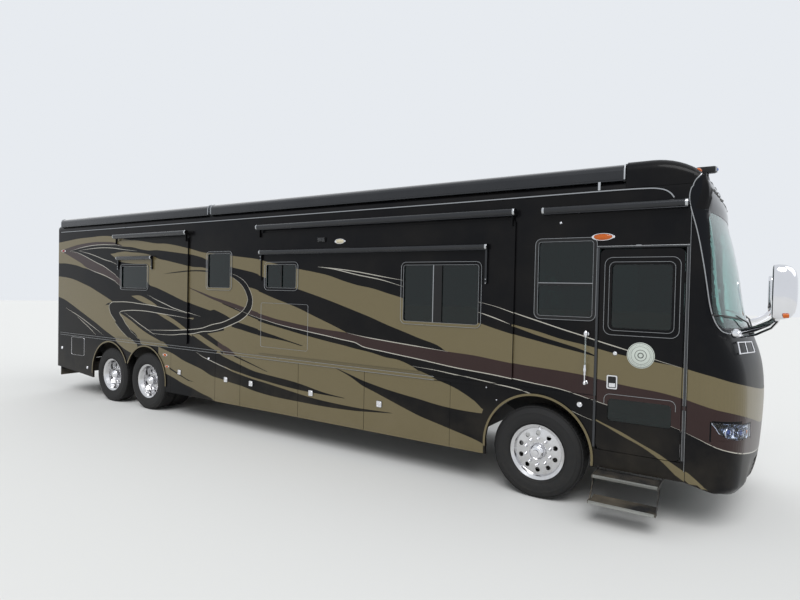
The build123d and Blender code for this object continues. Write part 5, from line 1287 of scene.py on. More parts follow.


# The side panes' dark tint is their own; their green cast is a painted reflection of grass.
tinted_glass = glass("tinted_glass", srgb(26, 60, 58), 0.92)
clear_glass = glass("clear_glass", srgb(176, 214, 208), 1.0)
tail_lens = glass("tail_lens", srgb(150, 14, 12), 0.55, 0.05)
frame_black = new_finish("window_frame", srgb(18, 18, 19), 0.3, metallic=0.3, dust=0.05,
                         ripple=(300, 0.05, 0.0005))
tune(tinted_glass, "Specular IOR Level", 0.3)
dress(tinted_glass, "side_windows", "slide_glass_bedroom_right", "slide_glass_living_left",
      "slide_glass_living_right", "entry_door_glass")
dress(tail_lens, "tail_lamps")
dress(frame_black, "window_frames")

# ---- Windshield --------------------------------------------------------------------------------
# Curved laminated glass bonded to the cap behind a black printed border, which widens to a dark band at the top; a
# bright satin metal bead runs round it, a painted highlight on the edge of its black rubber seal, and two wipers
# rest at its foot.
frit_black = glass("frit_black", srgb(4, 6, 12), 0.0, 0.04)
tune(frit_black, "Specular IOR Level", 0.22)
satin_metal = new_finish("satin_metal", srgb(168, 170, 172), 0.28, metallic=1.0, dust=0.08, dust_top=1.0,
                         ripple=(500, 0.05, 0.0004))
pane_mesh = crowned_copy("windshield_pane", "windshield", clear_glass)
pane_skin = skin_of(pane_mesh)
nose_skins = [cap_tree, pane_skin, skin_of(fairing.data), skin_of(nodes["side_walls"].data)]


def nose_point(angle, z, lift=0.0):
    """A point on the nose, seen from a line up the cab at an angle (degrees, right is negative)."""
    hits = []
    while not hits:           # a ray that slips through a joint is cast again beside it
        way = Vector((cos(radians(angle)), sin(radians(angle)), 0))
        start = Vector((CAB + FRONT, 0, z)) + 3 * way
        hits = [hit for hit in (skin.ray_cast(start, -way) for skin in nose_skins) if hit[0] is not None]
        angle *= 0.998
    hit, normal = min(hits, key=lambda h: (h[0] - start).length)[:2]
    return hit + lift * normal, normal


def edge_angle(x, z):
    """The angle at which the nose's right side is as far forward as x."""
    return min((abs(nose_point(-a / 4, z)[0].x - FRONT - x), -a / 4) for a in range(120, 284))[1]


bead_side = [(1.729, 1.952), (1.690, 2.03), (1.650, 2.166), (1.612, 2.40), (1.572, 2.65), (1.519, 2.928),
             (1.462, 3.14), (1.432, 3.259), (1.438, 3.33), (1.472, 3.40), (1.525, 3.448)]
bead_run = [(0, 1.935), (-20, 1.936), (-40, 1.940)] + [(edge_angle(x, z), z) for x, z in bead_side]
bead_run += [(-50, 3.468), (-40, 3.475), (-20, 3.482), (0, 3.485)]
bead_half = flowing([(angle * degree, z) for angle, z in bead_run], 0.03)
bead_loop = [(p.x, p.y) for p in bead_half] + [(-p.x, p.y) for p in bead_half[-2:0:-1]]
bead_highlight_path = [nose_point(length / degree, z)[0] for length, z in bead_loop]


def eased(path, passes):
    for _ in range(passes):
        path = [(path[k - 1] + 2 * path[k] + path[(k + 1) % len(path)]) / 4 for k in range(len(path))]
    return path


def on_skin(spot, lift):
    """The nearest point of the nose, raised away from the middle of the cab."""
    near = min((skin.find_nearest(spot)[0] for skin in nose_skins), key=lambda p: (p - spot).length)
    away = Vector((near.x - FRONT - CAB, near.y, max(0.0, near.z - 3.25))).normalized()
    return near + lift * away


for _ in range(3):
    bead_highlight_path = [on_skin(spot, 0.0) for spot in eased(bead_highlight_path, 4)]
for _ in range(2):
    bead_highlight_path = [point for k, spot in enumerate(bead_highlight_path)
                 for point in (spot, on_skin((spot + bead_highlight_path[(k + 1) % len(bead_highlight_path)]) / 2, 0.0))]
bead_loop = [(seen_at(p), p.z) for p in bead_highlight_path[::3]]
bead_highlight_path = [on_skin(spot, 0.0035) - front_axle for spot in eased(bead_highlight_path, 3)]
# The bright satin bead round the windshield is a painted highlight on the edge of its seal.
made("windshield_edge_highlight", "coach",
     [(swept(bead_highlight_path, round_section(0.0058, 8), closed=True, up=Vector((1, 0, 0.01))), 0)],
     [satin_metal])
pane_loop = []                # the clear opening in the printed border, a little inside the pane's edge
for y, z in rounded_loop(-1.185, 1.185, 1.99, 3.105, 0.11, parts=8):
    spot = from_ahead(pane_skin, y, z)[0]
    pane_loop.append((seen_at(spot), spot.z))
pane_loop = [(p.x, p.y) for p in flowing(pane_loop + pane_loop[:1], 0.04)][:-1]
paints["frit"] = frit_black


def on_border(length, z):
    """A point of the printed border: the middle one of five casts, so that no cast falls into a joint."""
    way = Vector((cos(radians(length / degree)), sin(radians(length / degree)), 0))
    casts = []
    for turn, rise in ((0, 0), (0.5, 0), (-0.5, 0), (0, 0.009), (0, -0.009)):
        spot, normal = nose_point(length / degree + turn, z + rise)
        casts.append((Vector((spot.x - FRONT - CAB, spot.y)).length, tuple(normal)))
    reach, normal = sorted(casts)[2]
    return tuple(Vector((CAB + FRONT, 0, z)) + reach * way + 0.0018 * Vector(normal))


border = paint_panel("windshield_border", "coach", bead_loop, [pane_loop], on_border, True,
                     shapes=[("frit", box_of(-3, 3, 1.5, 4))], grid=0.02)
film_form = bmesh.new()
film_form.from_mesh(border.data)
pane_top, proud = 3.13, 0.0045
upper = [v for v in film_form.verts if v.co.z > pane_top and not v.is_boundary]
for _ in range(14):
    bmesh.ops.smooth_vert(film_form, verts=upper, factor=0.5, use_axis_x=True, use_axis_y=True,
                          use_axis_z=True)
for corner in film_form.verts:    # the printed band lies a little proud over the pane's upper joint
    away = Vector((corner.co.x - FRONT - CAB, 0.6 * corner.co.y, max(0.0, corner.co.z - 3.0))).normalized()
    corner.co += proud * min(1.0, max(0.0, (corner.co.z - pane_top + 0.02) / 0.08)) * away
film_form.to_mesh(border.data)
film_form.free()
wiper_parts = []
for sign in (-1, 1):
    pivot, normal = nose_point(sign * 16, 1.905, 0.014)
    elbow, _ = nose_point(sign * 27, 2.02, 0.05)
    tip, _ = nose_point(sign * 40, 2.10, 0.026)
    wiper_parts.append((set_at(turned([(0.0005, 0.02), (0.014, 0.02), (0.018, 0.012), (0.018, -0.016),
                                       (0.0005, -0.016)], 16), Matrix.Translation(pivot - front_axle)), 0))
    wiper_parts.append((swept([pivot - front_axle, elbow - front_axle, tip - front_axle],
                              [(-0.009, -0.003), (0.009, -0.003), (0.007, 0.004), (-0.007, 0.004)]), 0))
    blade = [nose_point(sign * a, 2.045 + 0.0021 * (a - 22), 0.012)[0] - front_axle
             for a in range(22, 59, 3)]
    blade_form = swept(blade, [(-0.004, -0.009), (0.004, -0.009), (0.006, 0.006), (-0.006, 0.006)])
    wiper_parts.append((blade_form, 0))
made("wipers", "coach", wiper_parts, [frame_black])

# ---- Seams, belt and gutter --------------------------------------------------------------------
# Drawn aluminium trims screwed along the joints: the gutter with its eyebrow over the door, the belt moulding
# painted with the bands, and the lips of the wheel arches. The gutter and the fine lines along the belt's edges
# and under the bedroom slide-out are bright metal as painted highlights where those edges catch the light; the
# belt lines stop where that light fades.
gutter_line = [(-10.40, 3.347), (-6, 3.347), (-3, 3.348), (-1, 3.35), (0.3, 3.356), (0.75, 3.357),
               (1.02, 3.354), (1.16, 3.345), (1.24, 3.322), (1.29, 3.285), (1.318, 3.245)]
# The gutter is bright metal as a painted highlight along its edge.
gutter_path = [(p.x, -1.279, p.y) for p in flowing(gutter_line, 0.06) if p.x < 0.98]
gutter_path += [(p.x, -1.279, p.y) for p in flowing(gutter_line, 0.012) if p.x >= 0.98]
gutter = swept(gutter_path, [(-0.007, -0.006), (0.006, -0.006), (0.006, 0.005), (-0.004, 0.006)])
# Bright lines on the belt's top and bottom edges and under the bedroom slide-out: painted highlights.
belt_highlight_lines = []
for z in (1.1915, 1.2335):
    belt_highlight_lines.append(swept([(-10.40, -1.2855, z), (-1.3, -1.2855, z)], flat_section(0.0016, 0.0025)))
belt_highlight_lines.append(swept([(-8.0, -1.2762, 1.312), (-6.35, -1.2762, 1.300)],
                         flat_section(0.0012, 0.003)))
trims = [(part, 0) for part in [gutter] + belt_highlight_lines]
trims += [(mirrored(part), 0) for part in [gutter] + belt_highlight_lines]
made("side_trims_and_highlights", "coach", trims, [satin_metal])
for side, sign in SIDES:
    for part_name, x0, x1 in (("rear", -10.41, 0.630 if side == "right" else 1.47), ("front", 1.44, 1.476)):
        if side == "left" and part_name == "front":
            continue
        paint_panel(f"belt_{part_name}_{side}", "coach", box_of(x0, x1, 1.194, 1.231), [],
                    lambda x, z: (x + FRONT, sign * (side_y + 0.0103 + film), z), sign < 0)
    for name, x in AXLES.items():
        lip = [(x + radius * cos(radians(a)), arch_z + radius * sin(radians(a)))
               for radius, run in ((0.6005, range(-5, 186, 5)), (0.6255, range(185, -6, -5))) for a in run]
        stop = [box_of(-8.312, -7.531, 0.2, 0.795)] if name != "front" else []
        paint_panel(f"arch_lip_{name}_{side}", "coach", lip, stop,
                    lambda px, z: (px + FRONT, sign * (side_y + 0.0142 + film), z), sign < 0,
                    shapes=[("tan", circle_of(x, arch_z, 0.9))])

# ---- Side windows ------------------------------------------------------------------------------
# Each window's clamp ring is painted with the wall, and bright beads edge the ring and the pane as painted
# highlights along the frames' edges. The living room's wide window has a sliding half, and the one by the door a
# hopper below its bar; a thin bright strip beside each dark bar is its painted highlight.


def clamp_ring(pane):
    """The outer and the inner edge of the ring that clamps a pane."""
    return grown(pane, 0.012, 0.067), grown(pane, -0.024, 0.031)


def edge_bead(loop, y, radius=0.003):
    return swept([(x, y, z) for x, z in loop], round_section(radius, 6), closed=True, up=Vector((0, 1, 0)))


# Bright beads on a ring's outer and inner edge: painted highlights of the frame's edges.
def ring_highlight_beads(pane, y, radius=0.0035):
    outer, inner = clamp_ring(pane)
    return [edge_bead(outer, y, radius), edge_bead(inner, y + 0.001, radius * 0.8)]


def bar(x0, x1, z0, z1, y, deep=0.010):
    return block(x0, x1, y - deep / 2, y + deep / 2, z0, z1, 0.002)


ring_y, slide_ring_y = side_y + 0.008, side_y + 0.036
for side, sign in SIDES:
    keep = (lambda part: part) if sign < 0 else mirrored
    wall_set = wall_panes + ([slide_panes["bedroom"][0]] if side == "left" else [])
    groups = [("wall", "coach", wall_set, ring_y)]
    groups.append(("living", f"living_slide_{side}", slide_panes["living"], slide_ring_y))
    if side == "right":
        groups.append(("bedroom", "bedroom_slide", slide_panes["bedroom"], slide_ring_y))
    for name, body, panes, y in groups:
        beads = [(keep(part), 0) for pane in panes for part in ring_highlight_beads(pane, -y)]
        if name == "wall":
            # The thin bright strip along each dark bar is a painted highlight.
            beads += [(keep(bar(-0.016, 0.572, 2.399, 2.407, -y + 0.006, 0.006)), 0),
                      (keep(bar(-0.016, 0.572, 2.376, 2.399, -y + 0.008)), 1)]
        if name == "living":
            beads += [(keep(bar(-1.330, -1.318, 1.90, 2.606, -y + 0.005, 0.008)), 0),
                      (keep(bar(-1.318, -1.205, 1.90, 2.606, -y + 0.011)), 1),
                      (keep(bar(-3.925, -3.900, 2.28, 2.625, -y + 0.011)), 1)]
        made(f"window_beads_{name}_{side}", body, beads, [satin_metal, frame_black])
        for index, pane in enumerate(panes):
            outer, inner = clamp_ring(pane)
            paint_panel(f"window_ring_{name}_{side}_{index}", body, outer, [inner],
                        lambda x, z: (x + FRONT, sign * (y + film), z), sign < 0)

# ---- Entry door --------------------------------------------------------------------------------
# Framed door of the wall's sandwich panel. Rubber-backed aluminium mouldings cover its jambs, with thin bright
# lines along them as painted highlights; it has a paddle latch, a lock, bright beads round both panes that are
# painted highlights of their frames' edges, and a plain round medallion.
jamb_grey = new_finish("jamb_grey", srgb(62, 64, 67), 0.3, metallic=0.7, coat=0.3, dust=0.08,
                       ripple=(300, 0.05, 0.0004))
half_round = [(0.0145 * cos(radians(a)), 0.012 * sin(radians(a))) for a in range(0, 181, 20)]


def moulding(path, wide=1.0):
    """A half-round strip on the wall, its flat side to the wall."""
    return swept(path, [(a * wide, b) for a, b in half_round], up=Vector((0, -1, 0)))


jambs = [(moulding([(0.620, -1.2755, 0.70), (0.620, -1.2755, 2.772)]), 0),
         (moulding([(1.4590, -1.2755, 0.70), (1.4590, -1.2755, 2.772)], 0.72), 0),
         (moulding([(0.606, -1.2755, 2.776), (1.468, -1.2755, 2.776)], 0.55), 0),
         # Thin bright rods along the jambs' edges: painted highlights.
         (swept([(0.604, -1.279, 2.787), (1.466, -1.279, 2.787)], round_section(0.0035, 6)), 1),
         (swept([(1.4480, -1.280, 0.70), (1.4480, -1.280, 2.765)], round_section(0.0028, 6)), 1),
         (swept([(1.472, -1.281, 0.60), (1.472, -1.281, 3.10)], round_section(0.0028, 6)), 1),
         (block(0.985, 1.035, -1.288, -1.276, 2.783, 2.797, 0.003), 1)]
made("door_jambs", "coach", jambs, [jamb_grey, satin_metal])
# Bright beads round the upper and lower panes: painted highlights of the frames' edges.
door_parts = [(edge_bead(rounded_loop(0.690, 1.396, 1.878, 2.672, 0.075), -1.2765, 0.0035), 0),
              (edge_bead(rounded_loop(0.737, 1.35, 1.925, 2.625, 0.055), -1.284, 0.003), 0),
              (swept([(x, -1.2765, z) for x, z in [(1.384, 1.165)]
                      + rounded_loop(0.716, 1.384, 0.955, 1.268, 0.055)[:12] + [(0.716, 1.165)]],
                     round_section(0.0035, 6), up=Vector((0, 1, 0))), 0),
              (ring_prism(rounded_loop(0.740, 0.844, 1.323, 1.464, 0.014),
                          rounded_loop(0.752, 0.832, 1.335, 1.452, 0.010), -1.2845, -1.2905), 1),
              (prism(rounded_loop(0.752, 0.832, 1.335, 1.452, 0.010), -1.2845, -1.2865, 0.001), 2),
              (prism(rounded_loop(0.760, 0.824, 1.342, 1.385, 0.008), -1.2845, -1.2935, 0.003), 1),
              (set_at(turned([(0.0005, 0.006), (0.006, 0.006), (0.008, 0.0045), (0.018, 0.0035),
                              (0.0215, 0.0), (0.0215, -0.006), (0.0005, -0.006)], 24),
                      quarter_turned(0.812, -1.282, 1.69)), 1)]
made("door_trim", "entry_door", door_parts, [satin_metal, chrome, frame_black])
medallion_pale = new_finish("medallion_pale", srgb(206, 212, 204), 0.42, dust=0.05,
                            ripple=(60, 0.1, 0.0006), second=srgb(184, 192, 184))
medallion_dark = new_finish("medallion_dark", srgb(58, 62, 60), 0.45, dust=0.05, second=srgb(80, 84, 80))
at_door = lambda part: set_at(part, quarter_turned(1.056, -1.2765, 1.688))
disc = turned([(0.0005, 0.0022), (0.128, 0.0022), (0.130, 0.0010), (0.130, -0.002), (0.0005, -0.002)], 64)
ring_lines = [turned([(r, 0.0034), (r + w, 0.0034), (r + w, 0.0018), (r, 0.0018)], 64)
              for r, w in ((0.1195, 0.0035), (0.088, 0.0025), (0.052, 0.005), (0.020, 0.009))]
tick = block(-0.0015, 0.0015, -0.0035, 0.0035, 0.0018, 0.0034, 0.0004)
ticks = set_at(repeated(set_at(tick, Matrix.Rotation(pi / 2, 4, "Z")), medallion_dark, 48, radius=0.104),
               Matrix.Rotation(pi / 2, 4, "Y"))
made("door_medallion", "entry_door", [(at_door(disc), 0)] + [(at_door(p), 1) for p in ring_lines + [ticks]],
     [medallion_pale, medallion_dark])

# ---- Grab handle -------------------------------------------------------------------------------
# A clear acrylic bar between chrome stanchions beside the door, with a chromed lower bracket.
acrylic = glass("acrylic", srgb(222, 232, 232), 0.85)
handle_y = -1.337


def upright_turned(profile, z, steps=24):
    return set_at(turned(profile, steps), Matrix.Translation((0.528, handle_y, z))
                  @ Matrix.Rotation(-pi / 2, 4, "Y"))


stanchion = turned([(0.0005, 0.0), (0.021, 0.0), (0.021, 0.006), (0.012, 0.014), (0.011, 0.040),
                    (0.0005, 0.048)], 24)
handle_parts = []
for profile, z, finish in (([(0.0005, -0.265), (0.0075, -0.265), (0.0075, 0.12), (0.0005, 0.12)], 1.73, 1),
                           ([(0.0005, 0.036), (0.012, 0.034), (0.020, 0.022), (0.0225, 0.006),
                             (0.021, -0.012), (0.013, -0.024), (0.0105, -0.034), (0.0005, -0.034)], 1.873,
                            0),
                           ([(0.0005, 0.055), (0.010, 0.052), (0.013, 0.040), (0.013, 0.020),
                             (0.017, 0.014), (0.017, -0.014), (0.013, -0.020), (0.013, -0.050),
                             (0.010, -0.060), (0.0005, -0.060)], 1.50, 0),
                           ([(0.0005, 0.09), (0.006, 0.088), (0.0065, 0.0), (0.012, -0.006),
                             (0.017, -0.022), (0.012, -0.038), (0.0005, -0.044)], 1.382, 0)):
    handle_parts.append((upright_turned(profile, z), finish))
for z in (1.873, 1.36):
    handle_parts.append((set_at(stanchion, quarter_turned(0.528, -1.2755, z)), 0))
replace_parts(made("door_handle_bar", "coach", handle_parts, [chrome, acrylic]), "grab_handle")

# ---- Mirrors -----------------------------------------------------------------------------------
# Chromed shells on twin blade arms. Each shell holds a flat glass over a small wide-angle one and an
# amber turn lamp at its foot.
mirror_glass = new_finish("mirror_glass", srgb(226, 232, 238), 0.02, metallic=1.0, dust=0.02, ripple=None,
                          spread=0.01)
amber_lens = glass("amber_lens", srgb(206, 98, 18), 0.25, 0.1)
tune(amber_lens, "Emission Color", (1, 0.23, 0.02, 1))
tune(amber_lens, "Emission Strength", 0.04)


def shell_row(x, half_y, half_z, z, parts=36):
    row = []
    for k in range(parts):
        angle = 2 * pi * k / parts
        c, s = cos(angle), sin(angle)
        y = half_y * abs(c) ** 0.5 * (1 if c > 0 else -1)
        row.append((x, y, z + half_z * abs(s) ** 0.55 * (1 if s > 0 else -1)))
    return row


def lofted(rows):
    points = [point for row in rows for point in row]
    count = len(rows[0])
    faces = [tuple(range(count))[::-1], tuple((len(rows) - 1) * count + k for k in range(count))]
    for row in range(len(rows) - 1):
        faces += strip(row * count, (row + 1) * count, count)
    return points, faces


mirror_parts = []
for sign in (-1, 1):
    head = Matrix.Translation((2.185, sign * 1.56, 2.345))
    shell_rows = [(-0.058, 0.104, 0.219), (-0.052, 0.114, 0.229), (-0.02, 0.119, 0.234),
                  (0.03, 0.114, 0.229), (0.075, 0.098, 0.211), (0.103, 0.070, 0.175),
                  (0.116, 0.036, 0.115), (0.120, 0.010, 0.04)]
    mirror_parts.append((set_at(lofted([shell_row(x, y, z, 0) for x, y, z in shell_rows]), head), 0))
    flat = lofted([shell_row(-0.0575, 0.098, 0.142, 0.064), shell_row(-0.0600, 0.094, 0.138, 0.064)])
    wide = lofted([shell_row(-0.0575, 0.096, 0.058, -0.148), shell_row(-0.0590, 0.090, 0.053, -0.148),
                   shell_row(-0.0605, 0.060, 0.034, -0.148)])
    mirror_parts += [(set_at(flat, head), 1), (set_at(wide, head), 1)]
    amber_rows = ((0.020, 0.1152, 0.020), (0.034, 0.1150, 0.024), (0.062, 0.108, 0.020))
    amber = lofted([shell_row(x, y, z, -0.196) for x, y, z in amber_rows])
    mirror_parts.append((set_at(amber, head), 2))
    blade_section = [(-0.008, -0.026), (0.006, -0.026), (0.008, -0.018), (0.008, 0.018), (0.006, 0.026),
                     (-0.008, 0.026)]
    flip = lambda points: [(x, sign * y, z) for x, y, z in points]
    upper = flip([(1.905, 1.105, 1.968), (2.02, 1.20, 2.01), (2.12, 1.35, 2.07), (2.155, 1.46, 2.112),
                  (2.165, 1.535, 2.13)])
    lower = flip([(1.895, 1.10, 1.915), (2.02, 1.215, 1.955), (2.135, 1.38, 2.03), (2.175, 1.50, 2.095),
                  (2.18, 1.55, 2.12)])
    mirror_parts.append((swept(upper, blade_section), 0))
    mirror_parts.append((swept(lower, round_section(0.011, 10)), 0))
    root = Matrix.Translation((1.862, sign * 1.066, 1.945)) @ Matrix.Rotation(sign * radians(38), 4, "Z")
    mirror_parts.append((set_at(turned([(0.0005, 0.052), (0.018, 0.050), (0.030, 0.036), (0.036, 0.012),
                                        (0.046, 0.0), (0.046, -0.02), (0.0005, -0.02)], 28), root), 0))
    knuckle = Matrix.Translation((2.168, sign * 1.545, 2.128))
    mirror_parts.append((set_at(upright_turned([(0.0005, 0.03), (0.020, 0.026), (0.024, 0.0),
                                                (0.020, -0.026), (0.0005, -0.03)], 0.0),
                                knuckle @ Matrix.Translation((-0.528, -handle_y, 0))), 0))
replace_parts(made("mirror_set", "coach", mirror_parts, [chrome, mirror_glass, amber_lens],
                 crease=50), "mirrors")

# ---- Headlamps ---------------------------------------------------------------------------------
# Each lamp is a bright tray let into the corner of the cap, with two ringed projectors and a small
# turn lamp in it, closed by a clear moulded lens that carries on the cap's curve. The cap's maroon
# paint carries on over the lower outer corner of the opening.
lens_clear = glass("lens_clear", srgb(240, 244, 248), 1.0, 0.01)
tray_chrome = new_finish("tray_chrome", srgb(206, 212, 224), 0.12, metallic=1.0, dust=0.0,
                         ripple=(30, 0.2, 0.002), spread=0.05)
projector_glass = glass("projector_glass", srgb(120, 150, 230), 0.6, 0.01)


def ring_of(loop, share, depth):
    """The lamp's outline drawn in towards its middle and sunk into the cap."""
    mid_a, mid_z = sum(p[0] for p in loop) / len(loop), sum(p[1] for p in loop) / len(loop)
    row = []
    for length, z in loop:
        spot, normal = nose_at((mid_a + (length - mid_a) * share) / degree, mid_z + (z - mid_z) * share)
        row.append(tuple(spot - front_axle - depth * normal))
    return row


def stood_on(spot, normal):
    """Places a part built along X on a spot, so that it points along the normal."""
    return Matrix.Translation(spot - front_axle) @ normal.to_track_quat("X", "Z").to_matrix().to_4x4()


def nose_at(angle, z):
    way = Vector((cos(radians(angle)), sin(radians(angle)), 0))
    start = Vector((CAB + FRONT, 0, z)) + 3 * way
    hit, normal, _, _ = lamp_tree.ray_cast(start, -way)
    if hit is None or (hit - start).length > 2.4:
        hit, normal, _, _ = cap_tree.ray_cast(start, -way)
    return hit, normal


def on_lamp(sign):
    def place(length, z):
        spot = nose_at(length / degree, z)[0]
        return (spot.x, -sign * spot.y, spot.z)
    return place


paints["lens"] = lens_clear
lamp_parts = []
tray_rows = [ring_of(lamp_loop, 1.0, 0.0015), ring_of(lamp_loop, 0.965, 0.003),
             ring_of(lamp_loop, 0.93, 0.02), ring_of(lamp_loop, 0.86, 0.045)]
back_rows = [ring_of(lamp_loop, 0.86, 0.048), ring_of(lamp_loop, 0.96, 0.02),
             ring_of(lamp_loop, 1.0, 0.0045)]
rows, count = tray_rows + back_rows, len(lamp_loop)
tray_points = [point for row in rows for point in row]
tray_faces = []
for row in range(len(rows)):
    if row != 3:
        tray_faces += strip(row * count, (row + 1) % len(rows) * count, count)
for row in (3, 4):
    centre = sum((Vector(p) for p in rows[row]), Vector((0, 0, 0))) / count
    tray_points.append(tuple(centre))
    tray_faces += [(row * count + k, row * count + (k + 1) % count, len(tray_points) - 1)
                   for k in range(count)]
lamp_parts.append(((tray_points, tray_faces), 0))
bowl = turned([(0.0005, -0.030), (0.020, -0.029), (0.036, -0.022), (0.048, -0.008), (0.052, 0.006),
               (0.056, 0.008), (0.058, 0.004), (0.056, -0.014), (0.040, -0.034), (0.0005, -0.038)], 36)
eye = turned([(0.0005, 0.004), (0.012, 0.002), (0.022, -0.004), (0.029, -0.014), (0.031, -0.024),
              (0.0005, -0.024)], 30)
eye_ring = turned([(0.031, -0.006), (0.036, -0.004), (0.038, -0.010), (0.033, -0.026), (0.030, -0.022)], 30)
for spot_y, spot_z, size in ((1.165, 1.008, 1.0), (1.035, 0.998, 0.92), (0.925, 0.996, 0.62)):
    hit, faces_to = from_ahead(lamp_tree, -spot_y, spot_z)
    normal = (faces_to + Vector((0.9, 0, 0))).normalized()
    seat = stood_on(hit - 0.022 * faces_to, normal) @ Matrix.Scale(size, 4)
    lamp_parts += [(set_at(bowl, seat), 0), (set_at(eye_ring, seat), 0),
                   (set_at(eye, seat), 1 if size > 0.8 else 2)]
both_lamps = lamp_parts + [(mirrored(part), number) for part, number in lamp_parts]
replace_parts(made("headlamp_trays", "coach", both_lamps, [tray_chrome, projector_glass, amber_lens]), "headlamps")
for side, sign in SIDES:
    paint_panel(f"headlamp_lens_{side}", "coach", lamp_loop, [],
                on_lamp(sign), sign < 0,
                shapes=[("lens", box_of(-3, 3, 0, 3))], grid=0.02)

paints["surround"] = maroon_paint
cut_off = [k for k, (length, z) in enumerate(lamp_runs["low"]) if wedge_run[k][1] > z + 0.0005]
surround_loop = [lamp_runs["low"][k] for k in range(cut_off[0] - 1, len(wedge_run))]
surround_loop += [wedge_run[k] for k in cut_off[::-1]]
for side, sign in SIDES:
    paint_panel(f"headlamp_surround_{side}", "coach", surround_loop, [],
                on_lamp(sign), sign < 0,
                shapes=[("surround", box_of(-3, 3, 0, 3))], grid=0.02)

# ---- Nose fittings -----------------------------------------------------------------------------
# Small bright frame by the mirror arm, mesh behind the lower grille, marker lamps and a camera pod on
# the brow.
small_parts = []
for sign in (-1, 1):
    corners = [nose_point(-sign * angle, z, 0.030)[0] - front_axle
               for angle, z in ((-47.5, 1.851), (-31.0, 1.836), (-31.0, 1.738), (-47.5, 1.748))]
    top_mid, low_mid = (corners[0] + corners[1]) / 2, (corners[3] + corners[2]) / 2
    for a, b, up in ((corners[0], corners[1], (0, 0, 1)), (corners[3], corners[2], (0, 0, 1)),
                     (corners[0], corners[3], (1, 0, 0)), (corners[1], corners[2], (1, 0, 0)),
                     (top_mid, low_mid, (1, 0, 0))):
        past = 0.005 * (b - a).normalized()
        small_parts.append((swept([a - past, b + past], round_section(0.0062, 10), up=Vector(up)), 0))
    for point in corners:
        inward = (Vector((0.9, 0, point.z)) - point).normalized()
        small_parts.append((swept([point, point + 0.034 * inward], round_section(0.0055, 8),
                                  up=Vector((0, 0, 1))), 0))
made("nose_brackets", "coach", small_parts, [chrome])
marker_body = turned([(0.0005, 0.016), (0.018, 0.014), (0.028, 0.008), (0.032, 0.0), (0.032, -0.006),
                      (0.0005, -0.006)], 24)
marker_parts = []
for angle in (-62.0, -30.0, 0.0, 30.0, 62.0):
    spot, normal = nose_point(angle, 3.512 if abs(angle) > 50 else 3.545)
    marker_parts.append((set_at(marker_body, stood_on(spot, normal) @ Matrix.Diagonal((1, 1.5, 0.8, 1))),
                         0))
made("brow_markers", "coach", marker_parts, [amber_lens])
pod_parts = [(block(1.47, 1.64, -0.985, -0.895, 3.515, 3.578, 0.016), 0),
             (block(1.50, 1.58, -0.965, -0.915, 3.44, 3.525, 0.006), 0),
             (block(1.636, 1.652, -0.978, -0.902, 3.522, 3.571, 0.005), 1),
             (set_at(turned([(0.0005, 0.012), (0.012, 0.010), (0.017, 0.0), (0.0005, 0.0)], 20),
                     Matrix.Translation((1.651, -0.94, 3.546))), 2)]
made("roof_camera_pod", "coach", pod_parts, [frame_black, satin_metal, projector_glass])
grille_bars = repeated(block(-0.002, 0.002, -0.50, 0.50, -0.0025, 0.0025, 0.0008), frame_black, 15,
                       step=(0, 0, 0.0112))
hit = from_ahead(cap_tree, 0.0, 0.45)[0]
made("grille_mesh", "coach",
     [(set_at(grille_bars, Matrix.Translation((hit.x - FRONT - 0.16, 0, 0.476))), 0),
      (block(hit.x - FRONT - 0.19, hit.x - FRONT - 0.175, -0.56, 0.56, 0.45, 0.66), 0)], [frame_black])

# ---- Awnings -----------------------------------------------------------------------------------
# Cloth rolled in round aluminium cases: one along the roof, one over each slide-out room, one over each
# slide window and one over the door. The cases are anodised dark, with cast end caps and arms.
case_black = new_finish("case_black", srgb(24, 26, 30), 0.24, metallic=0.6, coat=0.5, dust=0.08,
                        dust_top=1.0, ripple=(500, 0.06, 0.0004), second=srgb(34, 36, 40))
cast_bright = new_finish("cast_bright", srgb(196, 198, 200), 0.22, metallic=1.0, dust=0.08,
                         ripple=(220, 0.1, 0.0006))


def sleeve(x0, x1, y, z, radius):
    """A case: a tube over the roller with a lip along its lower edge, and a cap at each end."""
    body = [(radius * 1.045 * cos(radians(a)), radius * 1.045 * sin(radians(a)))
            for a in range(-60, 241, 15)]
    body += [(-radius * 0.72, -radius * 1.12), (radius * 0.6, -radius * 1.12)]
    cap = turned([(0.0005, 0.010), (radius * 0.6, 0.009), (radius * 1.06, 0.003), (radius * 1.1, -0.002),
                  (radius * 1.1, -0.020), (0.0005, -0.020)], 24)
    left = set_at(cap, Matrix.Translation((x0, y, z)) @ Matrix.Rotation(pi, 4, "Z"))
    return [(swept([(x0, y, z), (x1, y, z)], body), 0), (left, 1),
            (set_at(cap, Matrix.Translation((x1, y, z))), 1)]


def arm(x, y, z0, z1):
    rod = swept([(x, y, z0), (x, y, z1)], flat_section(0.012, 0.004),
                up=Vector((0, 1, 0)))
    bolts = [set_at(turned([(0.0005, 0.008), (0.006, 0.007), (0.009, 0.0), (0.009, -0.004),
                            (0.0005, -0.004)], 12), quarter_turned(x, y - 0.004, z))
             for z in (z1, z1 + 0.045)]
    return [(rod, 0)] + [(bolt, 1) for bolt in bolts]


